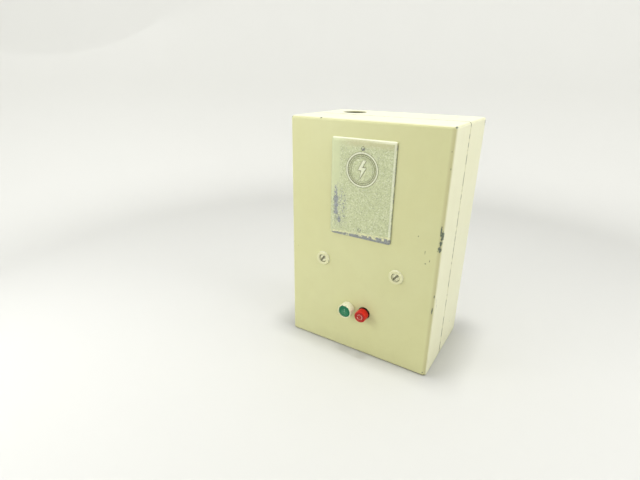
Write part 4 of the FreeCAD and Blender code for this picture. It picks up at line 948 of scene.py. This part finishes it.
def makeFloor():
    # The floor and the wall round it: a flat disc, a quarter circle up to the wall, and the wall,
    # carried once round the middle
    reach, bend, around = studio["floorRadius"], studio["sweepRadius"], 96
    turn = np.linspace(0, math.pi / 2, 16)
    radii = np.concatenate([[0.02, 0.3, 0.7], reach - bend + bend * np.sin(turn), [reach + 0.001]])[:, None]
    heights = np.concatenate([[0.0, 0.0, 0.0], bend * (1 - np.cos(turn)), [studio["wallTop"]]])[:, None]
    angle = np.linspace(0, fullTurn, around, endpoint=False)
    rings = np.stack(np.broadcast_arrays(radii * np.cos(angle), radii * np.sin(angle), heights - 0.0002), -1)
    mesh = bpy.data.meshes.new("studioFloor")
    faces = ringQuads(len(rings), around)[:, ::-1].tolist() + [list(range(around))]
    mesh.from_pydata(rings.reshape(-1, 3).tolist(), [], faces)
    mesh.shade_smooth()
    finish = Finish("studioPaper", studio, "floorColour")
    finish.tint(softPatches(finish.place, scale=1.5, contrast=1.0) * 0.15, "floorShade")
    away = vectorCalc("LENGTH", finish.place, output="Value")
    finish.tint(fade(away, *studio["wallStart"]), "wallColour")
    grain = noiseAt(finish.place, 60.0)
    mesh.materials.append(finish.close(grain * 0.05 + 0.75, grain, 0.0001, specular=0.2))
    addObject("studioFloor", mesh)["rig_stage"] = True


makeFloor()
finishes = {"cream_paint": makeEnamel("almondEnamel", enamel, enamel["knocks"]),
            "guard": makeEnamel("paleEnamel", guardEnamel, knocksOfGuard()),
            "collar": makeEnamel("collarEnamel", collarEnamel, []),
            "coil_tape": makeTape("coil_tape_finish", coilTape),
            "nameplate_paint": makePlatePaint("nameplate_paint_finish", platePaint)}
for maker, looks in ((makeMetal, metals), (makeMoulded, moulded), (makeButtonCap, buttonCaps)):
    for slotName, look in looks.items():
        finishes[slotName] = maker(slotName + "_finish", look)
for label, look in wornPaints.items():
    finishes[label] = makeWornPaint(label, look)
ownPaint = {"screw_collar_left": "collar", "screw_collar_right": "collar", "start_guard": "guard"}
slotOfNode = {name: node.data.materials[0].name.split(".")[0] for name, node in nodes.items()}
for name, node in nodes.items():
    for index in range(len(node.data.materials)):
        node.data.materials[index] = finishes[ownPaint.get(name, slotOfNode[name])]
print("finishes made:", len(finishes))


def standFor(nodeName, pieceName, parts, values=None, sharpAngle=38.0, material=None):
    # A finer piece in the place of one CAD node, on the node's own body, with the node's own finish
    # where no other is given
    slotName = slotOfNode[nodeName]
    material = material or finishes[slotName]
    return makePiece(pieceName, parts, material, nodeName, [nodeName], slotName, sharpAngle, values)


plate = {
    "edgeRound": 0.9, "corner": 3.0, "bevelWidth": 3.0, "bevelDrop": 0.7,  # all in mm
    "fineStep": 0.36, "coarseStep": 1.15,
    "medallionDrop": 38.0,  # from the plate's top edge down to the medallion's centre
    "ring": (20.3, 21.9, 0.45), "innerRing": (15.6, 16.3, 0.28),  # inner and outer radius, and height
    "beads": 44, "beadCircle": 18.3, "beadRadius": 0.85, "beadHeight": 0.38,
    "flashSize": 12.4, "flashHeight": 0.6, "fieldSink": 0.14,
    "unevenness": 0.05, "creviceReach": 0.75,
    "rivetRadius": 2.6, "rivetCrown": 0.55, "rivetDome": 0.15, "rivetShank": 1.5, "rivetDepths": (1.6, 5.5),
    "flash": [(0.10, 1.0), (-0.46, -0.06), (-0.08, -0.06), (-0.24, -1.0),
              (0.48, 0.24), (0.06, 0.24), (0.44, 1.0)],
    "rivetInset": 12.0, "rivetHollow": 3.0, "rivetSink": 0.55,
}


def distanceInside(x, z, outline):
    # Distance to the nearest side of a closed outline, above 0 inside it: a point is inside when a line
    # to its right crosses the outline an odd number of times
    nearest = np.full(x.shape, 1e9)
    inside = np.zeros(x.shape, bool)
    for (x0, z0), (x1, z1) in zip(outline, outline[1:] + outline[:1]):
        along = (x - x0) * (x1 - x0) + (z - z0) * (z1 - z0)
        share = np.clip(along / ((x1 - x0) ** 2 + (z1 - z0) ** 2), 0, 1)
        nearest = np.minimum(nearest, np.hypot(x - x0 - share * (x1 - x0), z - z0 - share * (z1 - z0)))
        crosses = (z0 > z) != (z1 > z)
        level = np.where(crosses, z, z0)
        inside ^= crosses & (x < x0 + (level - z0) * (x1 - x0) / (z1 - z0 if z1 != z0 else 1.0))
    return np.where(inside, nearest, -nearest)


def band(radius, inner, outer, height, slope=0.35):
    # A raised ring with sloped sides
    return height * (smoothStep(radius, inner - slope, inner) - smoothStep(radius, outer, outer + slope))


def plateRelief(x, z, medallionZ, rivetHeights):
    # Height in mm over the plate's face: two rings, a circle of beads and a lightning flash on a sunk field
    radius = np.hypot(x, z - medallionZ)
    angle = np.arctan2(z - medallionZ, x)
    height = -plate["fieldSink"] * (1 - smoothStep(radius, plate["ring"][0] - 0.8, plate["ring"][0] - 0.2))
    height = height + band(radius, *plate["ring"]) + band(radius, *plate["innerRing"])
    gap = fullTurn / plate["beads"]
    off = (angle / gap - np.round(angle / gap)) * gap
    reach = np.hypot(radius * np.cos(off) - plate["beadCircle"], radius * np.sin(off))
    height = height + plate["beadHeight"] * np.sqrt(np.clip(1 - (reach / plate["beadRadius"]) ** 2, 0, 1))
    size = plate["flashSize"]
    outline = [(px * size, medallionZ + pz * size) for px, pz in plate["flash"]]
    height = height + plate["flashHeight"] * smoothStep(distanceInside(x, z, outline), -0.3, 0.45)
    for place in rivetHeights:
        around = np.hypot(x, z - place)
        hollow = 1 - smoothStep(around, plate["rivetHollow"] - 0.4, plate["rivetHollow"])
        height = height - plate["rivetSink"] * hollow
    waves = np.sin(0.31 * x + 0.17 * z) + np.sin(0.23 * z - 0.37 * x + 1.3)
    waves = waves + np.sin(0.53 * x + 0.49 * z + 2.1)
    return height + plate["unevenness"] * waves * smoothStep(radius, 21.0, 27.0)


def gridLines(half, fineLow, fineHigh, middle):
    # Places across the plate: close together over the rounded rim and the medallion
    rim = plate["edgeRound"] * (1 - np.cos(np.linspace(0, math.pi / 2, 6)))
    slope = np.linspace(plate["edgeRound"], plate["edgeRound"] + plate["bevelWidth"], 6)[1:]
    margin = np.concatenate([rim, slope])
    low, high = middle - half + margin, middle + half - margin[::-1]
    inside = np.concatenate([
        np.arange(low[-1], fineLow, plate["coarseStep"])[1:], np.arange(fineLow, fineHigh, plate["fineStep"]),
        np.arange(fineHigh, high[0] - plate["coarseStep"] / 2, plate["coarseStep"])])
    return np.concatenate([low, inside, high])


def makeNameplate():
    # A grid over the plate, its corner squares bent to quarter discs (each way times the root of one less
    # half the other's square), raised by the relief and dropped at the rim, then carried back to the cover
    low, high = np.array(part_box("nameplate")) / mm
    half, middle = (high - low) / 2, (high + low) / 2
    medallionZ = high[2] - plate["medallionDrop"]
    rivetHeights = [low[2] + plate["rivetInset"], high[2] - plate["rivetInset"]]
    reach = plate["ring"][1] + 1.0
    gridX = gridLines(half[0], middle[0] - reach, middle[0] + reach, middle[0])
    gridZ = gridLines(half[2], medallionZ - reach, medallionZ + reach, middle[2])
    x, z = np.meshgrid(gridX - middle[0], gridZ - middle[2])
    corner = plate["corner"]
    baseX, baseZ = [np.clip(v, corner - h, h - corner) for v, h in ((x, half[0]), (z, half[2]))]
    a, b = (x - baseX) / corner, (z - baseZ) / corner
    x = baseX + corner * a * np.sqrt(1 - b * b / 2)
    z = baseZ + corner * b * np.sqrt(1 - a * a / 2)
    offX, offZ = np.abs(x) - (half[0] - corner), np.abs(z) - (half[2] - corner)
    rim = corner - np.hypot(np.maximum(offX, 0), np.maximum(offZ, 0)) - np.minimum(np.maximum(offX, offZ), 0)
    rim = np.maximum(rim, 0)
    relief = plateRelief(x + middle[0], z + middle[2], medallionZ, rivetHeights)
    relief = relief * smoothStep(rim, 3.0, 6.0)
    turn = np.linspace(0, fullTurn, 9)[:-1]
    away = plate["creviceReach"]
    around = [plateRelief(x + middle[0] + away * math.cos(t), z + middle[2] + away * math.sin(t),
                          medallionZ, rivetHeights) for t in turn]
    crevice = (np.mean(around, axis=0) - relief) * smoothStep(rim, 3.0, 6.0)
    edge, width = plate["edgeRound"], plate["bevelWidth"]
    bend = edge - np.sqrt(np.clip(edge ** 2 - np.clip(edge - rim, 0, edge) ** 2, 0, None))
    drop = plate["bevelDrop"] * np.clip(1 - (rim - edge) / width, 0, 1) + bend
    highest = plate["flashHeight"] - plate["fieldSink"]
    front = low[1] + highest - relief + drop
    count, across = x.shape
    index = np.arange(count * across).reshape(count, across)
    quads = np.stack([index[:-1, :-1], index[:-1, 1:], index[1:, 1:], index[1:, :-1]], -1).reshape(-1, 4)
    loop = np.concatenate([index[0, :-1], index[:-1, -1], index[-1, :0:-1], index[:0:-1, 0]])
    points = np.stack([x + middle[0], front, z + middle[2]], -1).reshape(-1, 3)
    skirt = [np.column_stack([points[loop, 0], np.full(len(loop), y), points[loop, 2]])
             for y in (high[1] - 0.6, high[1])]
    back = np.array([[middle[0], high[1], middle[2]]])
    rimValues = np.concatenate([rim.ravel(), np.full(len(loop), -0.8), np.full(len(loop) + 1, -1.8)])
    flat = np.zeros(2 * len(loop) + 1)
    values = {"relief": np.concatenate([relief.ravel(), flat]),
              "crevice": np.concatenate([crevice.ravel(), flat]), "rim": rimValues}
    points = np.vstack([points, *skirt, back]) * mm
    ring = np.arange(len(loop)) + count * across
    loops = [loop, ring, ring + len(loop)]
    sides = [np.column_stack([upper, lower, np.roll(lower, -1), np.roll(upper, -1)])
             for upper, lower in zip(loops, loops[1:])]
    fan = np.column_stack([np.roll(loops[2], -1), loops[2], np.full(len(loop), len(points) - 1)])
    faces = quads.tolist() + np.vstack(sides).tolist() + fan[:, ::-1].tolist()
    standFor("nameplate", "nameplateCasting", [(points, faces)], values, 50.0)
    face, wide, shank = low[1] + highest, plate["rivetRadius"], plate["rivetShank"]
    share = np.linspace(0.05, 1, 12)
    dome = face - plate["rivetDome"] + plate["rivetCrown"] * share ** 2.5
    radii = np.concatenate([(wide - 0.05) * share, [wide, shank + 0.05, shank, shank]])
    places = np.concatenate([dome, [face + 0.7] * 2, low[1] + np.array(plate["rivetDepths"])])
    heads = [turnedPart(radii * mm, places * mm, (0.0, place * mm), 48) for place in rivetHeights]
    standFor("nameplate_rivets", "nameplateRivets", heads, material=finishes["paintedRivet"])


makeNameplate()
print("nameplate made")


caps = {
    "start_button": {"piece": "startButtonCap", "radius": 8.8, "crown": 0.22, "mark": "bar", "neck": 0.0},
    "stop_button": {"piece": "stopButtonCap", "radius": 8.3, "crown": 0.35, "mark": "ring", "neck": 0.7},
    "round": 0.8,
    "flangeThick": 2.0,
    "socket": (3.05, 6.0),  # radius and depth
    "neckReach": 2.6,  # from the cover's face to the front of the drawn-in neck
    "bar": (0.8, 4.0, 0.8),  # half width, half height and end radius of the start mark
    "ring": (3.0, 4.2),  # inner and outer radius of the stop mark
    "cut": 0.42,
    "soft": 0.22,
}


def markMask(kind, x, z):
    # 1 in the cut mark: a rounded bar for start, a ring for stop
    if kind == "bar":
        halfWide, halfHigh, end = caps["bar"]
        beyondX, beyondZ = np.abs(x) - halfWide + end, np.abs(z) - halfHigh + end
        gap = np.hypot(np.maximum(beyondX, 0), np.maximum(beyondZ, 0)) - end
    else:
        inner, outer = caps["ring"]
        radius = np.hypot(x, z)
        gap = np.maximum(inner - radius, radius - outer)
    return 1 - smoothStep(gap, -caps["soft"], 0.0)


def makeButtonCaps():
    # A turned cap: crowned face, rounded rim, skirt and flange, and the socket for the plunger behind.
    # The face is pressed back by the cut depth where the mark is, and the skirt is drawn in where it
    # meets the cover
    for name in ("start_button", "stop_button"):
        look, rounding = caps[name], caps["round"]
        low, high = np.array(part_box(name)) / mm
        centre = (low + high) / 2
        flange = (high[0] - low[0]) / 2
        turn = np.linspace(0, math.pi / 2, 7)[1:]
        faceRadii = np.linspace(0.1, look["radius"] - rounding, 46)
        faceY = low[1] + look["crown"] * (faceRadii / faceRadii[-1]) ** 2
        rimRadii = look["radius"] - rounding * (1 - np.sin(turn))
        rimY = faceY[-1] + rounding * (1 - np.cos(turn))
        flangeY, back = high[1] - caps["flangeThick"], high[1]
        bore, depth = caps["socket"]
        neckY = coverLow[1] / mm - caps["neckReach"]
        neck = look["radius"] - look["neck"]
        behind = [(look["radius"], neckY), (neck, neckY + 0.1), (neck, flangeY - 0.2), (neck + 0.15, flangeY),
                  (flange - 0.25, flangeY), (flange, flangeY + 0.25), (flange, back - 0.25),
                  (flange - 0.25, back), (bore + 0.3, back), (bore, back - 0.3),
                  (bore, back - depth + 0.1), (bore - 0.2, back - depth)]
        radii = np.concatenate([faceRadii, rimRadii, [radius for radius, place in behind]])
        places = np.concatenate([faceY, rimY, [place for radius, place in behind]])
        points, faces = turnedPart(radii, places, (centre[0], centre[2]), 128)
        x, z = points[:, 0] - centre[0], points[:, 2] - centre[2]
        onFace = points[:, 1] < faceY[-1] + 0.01
        mark = markMask(look["mark"], x, z) * onFace
        points[:, 1] += caps["cut"] * mark
        press = onFace * (1 - smoothStep(np.hypot(x, z + 2.5), 1.5, look["radius"] - 1.5))
        seat = points[:, 1] > neckY + 0.05
        values = {"mark": mark, "press": press, "face": onFace, "seat": seat}
        standFor(name, look["piece"], [(points * mm, faces)], values, 45.0)


makeButtonCaps()
print("button caps made")


screwLook = {
    "slotShare": 0.20,  # of the head's diameter
    "slotDepth": 0.45,  # of the head's height
    "crown": 0.10,  # of the head's radius
    "rim": 0.12,
    "thread": 0.13,  # depth as a share of the shank's radius
    "pitch": 0.36,  # as a share of the shank's radius
    "threaded": 14.0,  # mm of thread from the tip
    "around": 32,
    "clampRound": 0.35,  # mm
    "coverSlot": 50,  # degrees
}


def measureScrew(solid):
    # Its head's flat is the lowest Y and its tip the highest. The seat is as deep as the head's full
    # radius goes, and a square clamp plate shows as points wider than the head below the seat
    low, high = solid.min(0), solid.max(0)
    centre = (low + high) / 2
    reach = np.hypot(solid[:, 0] - centre[0], solid[:, 2] - centre[2])
    small = 2e-6
    head = reach[solid[:, 1] < low[1] + small].max()
    seat = solid[(np.abs(reach - head) < 10 * small) & (solid[:, 1] < low[1] + 1.3 * head), 1].max()
    shank = reach[solid[:, 1] > high[1] - small].max()
    wide = (high[0] - low[0]) / 2
    clamp = solid[reach > 1.2 * wide, 1] if wide > 1.05 * head else np.array([])
    return {"x": centre[0], "z": centre[2], "top": low[1], "seat": seat, "tip": high[1],
            "head": head, "shank": shank,
            "clamp": (wide, clamp.min(), clamp.max()) if len(clamp) else None}


def screwPart(size, slotAngle):
    # Rings from the middle of the head to the tip. The head's face is a shallow crown, cut back along the
    # slot. The shank's radius falls by the thread's depth times a triangle wave of (place over pitch, less
    # the turn), which is a helix
    around = screwLook["around"]
    angle = np.linspace(0, fullTurn, around, endpoint=False)
    head, shank, top, seat, tip = size["head"], size["shank"], size["top"], size["seat"], size["tip"]
    rim = screwLook["rim"] * head
    turn = np.linspace(0, math.pi / 2, 4)[1:]
    faceRadii = np.linspace(0.04, 1, 14) * (head - rim)
    crown = screwLook["crown"] * head * (faceRadii / head) ** 2
    headRadii = np.concatenate([faceRadii, head - rim * (1 - np.sin(turn)), [head, head]])
    rimY = crown[-1] + rim * (1 - np.cos(turn))
    headY = top + np.concatenate([crown, rimY, [0.6 * (seat - top), seat - top]])
    x = headRadii[:, None] * np.cos(angle)
    z = headRadii[:, None] * np.sin(angle)
    y = np.broadcast_to(headY[:, None], x.shape).copy()
    along = np.array([math.cos(slotAngle), math.sin(slotAngle)])
    offset = -x * along[1] + z * along[0]
    lengthwise = x * along[0] + z * along[1]
    half = screwLook["slotShare"] * head
    cell = 0.55 * head / 13
    wall = np.sign(offset) * half * np.where(np.abs(offset) > half, 1.0, 0.97)
    snapped = np.where(np.abs(np.abs(offset) - half) < cell, wall, offset)
    onFace = np.arange(len(headRadii))[:, None] < len(faceRadii) - 1
    offset = np.where(onFace & (headRadii[:, None] > half), snapped, offset)
    x = lengthwise * along[0] - offset * along[1]
    z = lengthwise * along[1] + offset * along[0]
    floor = top + screwLook["slotDepth"] * (seat - top)
    y = np.where((np.abs(offset) < half * 0.985), np.maximum(y, floor), y)
    pitch = screwLook["pitch"] * shank
    threadStart = max(seat, tip - screwLook["threaded"] * mm)
    turns = (tip - threadStart) / pitch
    steps = int(turns * 6) + 2
    threadY = np.linspace(threadStart, tip - 0.4 * shank, steps)
    wave = np.abs(((threadY[:, None] - threadStart) / pitch - angle / fullTurn) % 1 - 0.5) * 2
    ease = smoothStep(threadY, threadStart, threadStart + 2 * pitch)[:, None]
    threadRadii = shank * (1 - screwLook["thread"] * wave * ease)
    plainY = np.array([seat] if threadStart > seat + 1e-5 else [])
    plain, tipRadii = np.full((len(plainY), around), shank), np.full((1, around), 0.62 * shank)
    shankRadii = np.vstack([plain, threadRadii, tipRadii])
    shankY = np.concatenate([plainY, threadY, [tip]])
    x = np.vstack([x, shankRadii * np.cos(angle)])
    z = np.vstack([z, shankRadii * np.sin(angle)])
    y = np.vstack([y, np.broadcast_to(shankY[:, None], (len(shankY), around))])
    return ringPart(np.stack([size["x"] + x, y, size["z"] + z], -1))


# Half turns and quarter turns that bring a screw's head to its lowest Y: the axes in their new order, and
# the sign that each one then takes
screwTurns = {
    "auxiliary_screws": ([1, 0, 2], [1, -1, 1]),
    "button_block_screws": ([0, 1, 2], [-1, -1, 1]),
    "button_terminal_screws": ([0, 1, 2], [-1, -1, 1]),
}


def screwParts(nodeName, slotAngle=None):
    # One threaded screw for each solid of the node, each with its slot left at its own angle, and its
    # square pressure plate where it has one
    parts = []
    order, signs = screwTurns.get(nodeName, ([0, 1, 2], [1, 1, 1]))
    for solid in solidsOf(nodeName):
        size = measureScrew(solid[:, order] * signs)
        angle = rng.uniform(0, math.pi) if slotAngle is None else slotAngle
        made = [screwPart(size, angle)]
        if size["clamp"]:
            wide, front, back = size["clamp"]
            made.append(boxPart((size["x"] - wide, front, size["z"] - wide),
                                (size["x"] + wide, back, size["z"] + wide), screwLook["clampRound"] * mm))
        parts += [((points * signs)[:, order], faces) for points, faces in made]
    return parts


def makeScrews():
    # One piece for each node of screws. The two cover screws carry a dirt mark, which is 1 on the floor of
    # the slot and below eight tenths of the head's height
    for side in ("left", "right"):
        nodeName = "cover_screw_" + side
        size = measureScrew(solidsOf(nodeName)[0])
        parts = screwParts(nodeName, math.radians(screwLook["coverSlot"]))
        tall, y = size["seat"] - size["top"], parts[0][0][:, 1]
        inSlot = np.abs(y - (size["top"] + screwLook["slotDepth"] * tall)) < 1e-6
        dirt = inSlot | (y > size["top"] + 0.8 * tall)
        paint = finishes["paintedScrew"]
        standFor(nodeName, "coverScrew" + side.title(), parts, {"dirt": dirt}, material=paint)
    for nodeName in ("button_block_screws", "button_terminal_screws", "contactor_screws",
                     "line_terminal_screws", "yoke_bracket_screws", "coil_terminals", "arc_cover_screws",
                     "relay_screws", "load_terminal_screws", "heater_screws", "ground_screw",
                     "auxiliary_screws"):
        words = nodeName.split("_")
        pieceName = words[0] + "".join(word.title() for word in words[1:]) + "Threaded"
        standFor(nodeName, pieceName, screwParts(nodeName))


studs = {"pitch": 0.8, "thread": 0.35, "tip": 0.6, "tipLength": 0.5, "around": 28}  # lengths in mm


def makeStuds():
    # A stud's radius falls by the thread depth times a triangle wave along its length less the turn
    parts = []
    around = studs["around"]
    angle = np.linspace(0, fullTurn, around, endpoint=False)
    for solid in solidsOf("panel_studs"):
        low, high = solid.min(0), solid.max(0)
        radius, pitch = (high[0] - low[0]) / 2, studs["pitch"] * mm
        places = np.linspace(low[1] + studs["tipLength"] * mm, high[1], int((high[1] - low[1]) / pitch * 6))
        wave = np.abs((places[:, None] / pitch - angle / fullTurn) % 1 - 0.5) * 2
        tip = np.full((1, around), radius - studs["tip"] * mm)
        radii = np.vstack([tip, radius - studs["thread"] * mm * wave])
        places = np.concatenate([[low[1]], places])[:, None]
        parts.append(ringPart(turnedRings(radii, places, ((low + high) / 2)[[0, 2]])))
    standFor("panel_studs", "panelStudsThreaded", parts)


makeScrews()
makeStuds()
print("screws and studs made")


def springPart(low, high, axis, wire, turns, perTurn=26):
    # A coil spring that fills the box between two corners: the path goes round its axis at the mean radius,
    # and along it slowly for the closed turn at each end and evenly between. The ends are ground flat by
    # keeping the wire inside the box
    across = [k for k in range(3) if k != axis]
    centre = (low + high) / 2
    mean = (high[across[0]] - low[across[0]]) / 2 - wire
    share = np.linspace(0, turns, int(turns * perTurn))
    start, stop = low[axis] + wire, high[axis] - wire
    along = np.interp(share, [0, 1, turns - 1, turns], [start, start + 2 * wire, stop - 2 * wire, stop])
    angle = share * fullTurn
    path = np.empty((len(share), 3))
    path[:, axis] = along
    path[:, across[0]] = centre[across[0]] + mean * np.cos(angle)
    path[:, across[1]] = centre[across[1]] + mean * np.sin(angle)
    side = np.zeros_like(path)
    side[:, across[0]] = np.cos(angle)
    side[:, across[1]] = np.sin(angle)
    return tubePart(path, side, wire)


contactSpring = {"wire": 0.4, "turns": 6.5}
springs = {
    "start_spring": {"wire": 0.45, "turns": 8.5, "joint": "start_press", "piece": "startSpringCoil"},
    "stop_spring": {"wire": 0.45, "turns": 8.5, "joint": "stop_press", "piece": "stopSpringCoil"},
    "reset_spring": {"wire": 0.4, "turns": 9.5, "joint": "reset_press", "piece": "resetSpringCoil"},
}


def makeSprings():
    # A coil for each button spring, given its own copy of the mesh. Its fixed back end and the share of its
    # length that it keeps at its joint's full travel are worked out but not applied
    travel = {joint["name"]: joint["range_m"][1] for joint in frame["joints"] if "range_m" in joint}
    for name, look in springs.items():
        low, high = np.array(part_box(name))
        piece = standFor(name, look["piece"], [springPart(low, high, 1, look["wire"] * mm, look["turns"])])
        length = high[1] - low[1]
        anchor = (float((low[0] + high[0]) / 2), float(high[1]), float((low[2] + high[2]) / 2))
        keep = float(1 - travel[look["joint"]] / length)
        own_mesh(piece)
    wire, turns = contactSpring["wire"] * mm, contactSpring["turns"]
    parts = [springPart(solid.min(0), solid.max(0), 2, wire, turns) for solid in solidsOf("contact_springs")]
    standFor("contact_springs", "contactSpringCoils", parts)


makeSprings()
print("springs made")


magnet = {"outerLeg": 9.0, "centreLeg": 16.0, "bar": 10.0, "sheet": 0.65, "groove": 0.10}
winding = {"bore": (10.25, 12.5), "boreCorner": 1.5, "corner": 6.0, "tapeWidth": 9.0, "tapeStep": 0.32,
           "endRound": 0.9, "endReach": 1.2}
heaterWire = {"radius": 5.55, "wire": 0.42, "pitch": 1.7, "margin": 13.5}  # all in mm


def coreOutline(low, high, barOnTop):
    # The E of a core half in X and Z, its three legs pointing away from its bar
    outer, centreHalf, bar = magnet["outerLeg"] * mm, magnet["centreLeg"] / 2 * mm, magnet["bar"] * mm
    barOut, barIn, tip = (high[2], high[2] - bar, low[2]) if barOnTop else (low[2], low[2] + bar, high[2])
    legIn = high[0] - outer
    right = [(high[0], barOut), (high[0], tip), (legIn, tip), (legIn, barIn),
             (centreHalf, barIn), (centreHalf, tip)]
    left = [(-x, z) for x, z in right[::-1]]
    return np.array(right + left)


def makeCores():
    # Stamped sheets: the outline is carried from front to back, and drawn in along its corner normals at
    # each joint between two sheets
    for name, pieceName, barOnTop in (("magnet_yoke", "magnetYokeSheets", True),
                                      ("armature", "armatureSheets", False)):
        low, high = np.array(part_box(name))
        outline = coreOutline(low, high, barOnTop)
        following = np.roll(outline, -1, axis=0)
        sides = following - outline
        area = 0.5 * np.sum(outline[:, 0] * following[:, 1] - outline[:, 1] * following[:, 0])
        outward = np.sign(area) * np.column_stack([sides[:, 1], -sides[:, 0]])
        normals = outward / np.linalg.norm(sides, axis=1)[:, None]
        corner = normals + np.roll(normals, 1, axis=0)
        count = int(round((high[1] - low[1]) / (magnet["sheet"] * mm)))
        edges = np.linspace(low[1], high[1], count + 1)
        thick = edges[1] - edges[0]
        lip = 0.12 * thick
        places = np.append((edges[:-1, None] + [0, lip, thick - lip]).ravel(), edges[-1])
        inset = np.tile([magnet["groove"] * mm, 0, 0], count).tolist() + [magnet["groove"] * mm]
        rings = outline[None] - np.array(inset)[:, None, None] * corner[None]
        depths = np.broadcast_to(places[:, None], rings.shape[:2])
        rings = np.stack([rings[..., 0], depths, rings[..., 1]], -1)
        standFor(name, pieceName, [ringPart(rings, flatEnds=True)], sharpAngle=25.0)


def makeWinding():
    # The taped coil: rounded rectangles stacked up its outside and down its bore. Outside, the half widths
    # step out once per turn of overlapping tape, which climbs as it goes round
    low, high = np.array(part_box("coil_winding"))
    half, middle = (high - low) / 2, (high + low) / 2
    outside = roundedLoop(half[0], half[1], winding["corner"] * mm, 10, 16)
    bore = roundedLoop(*(v * mm for v in winding["bore"]), winding["boreCorner"] * mm, 10, 16)
    share = np.arange(len(outside)) / len(outside)
    layers = []
    for z in middle[2] - half[2] + np.linspace(0, 1, 70) * 2 * half[2]:
        climb = ((z - low[2]) / (winding["tapeWidth"] * mm) - share) % 1.0
        end = min(z - low[2], high[2] - z) / mm / winding["endReach"]
        step = winding["tapeStep"] * mm * (1 - climb ** 6) + winding["endRound"] * mm * (1 - min(end, 1)) ** 2
        layers.append((outside * (1 - step[:, None] / half[:2].max()), z))
    layers += [(bore, high[2]), (bore, low[2])]
    rings = [np.column_stack([middle[:2] + loop, np.full(len(loop), z)]) for loop, z in layers]
    standFor("coil_winding", "coilWindingTaped", [ringPart(np.array(rings), closed=True)], sharpAngle=50.0)


def makeHeaterWires():
    # Resistance wire wound on each heater's tube: the path goes round the tube while it climbs evenly
    parts = []
    radius, wire, pitch, margin = (heaterWire[key] * mm for key in ("radius", "wire", "pitch", "margin"))
    for solid in solidsOf("heater_elements"):
        low, high = solid.min(0), solid.max(0)
        centreX, centreY = (low[0] + high[0]) / 2, low[1] + (high[0] - low[0]) / 2
        start, stop = low[2] + margin, high[2] - margin
        turns = (stop - start) / pitch
        angle = np.linspace(0, turns * fullTurn, int(turns * 28))
        path = np.column_stack([centreX + radius * np.cos(angle), centreY + radius * np.sin(angle),
                                np.linspace(start, stop, len(angle))])
        side = np.column_stack([np.cos(angle), np.sin(angle), np.zeros(len(angle))])
        parts.append(tubePart(path, side, wire, 8))
    makePiece("heaterWindings", parts, finishes["heater_alloy"], "heater_elements", slotName="heater_alloy")


makeCores()
makeWinding()
makeHeaterWires()
print("magnet, coil and heaters made")

low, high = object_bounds()
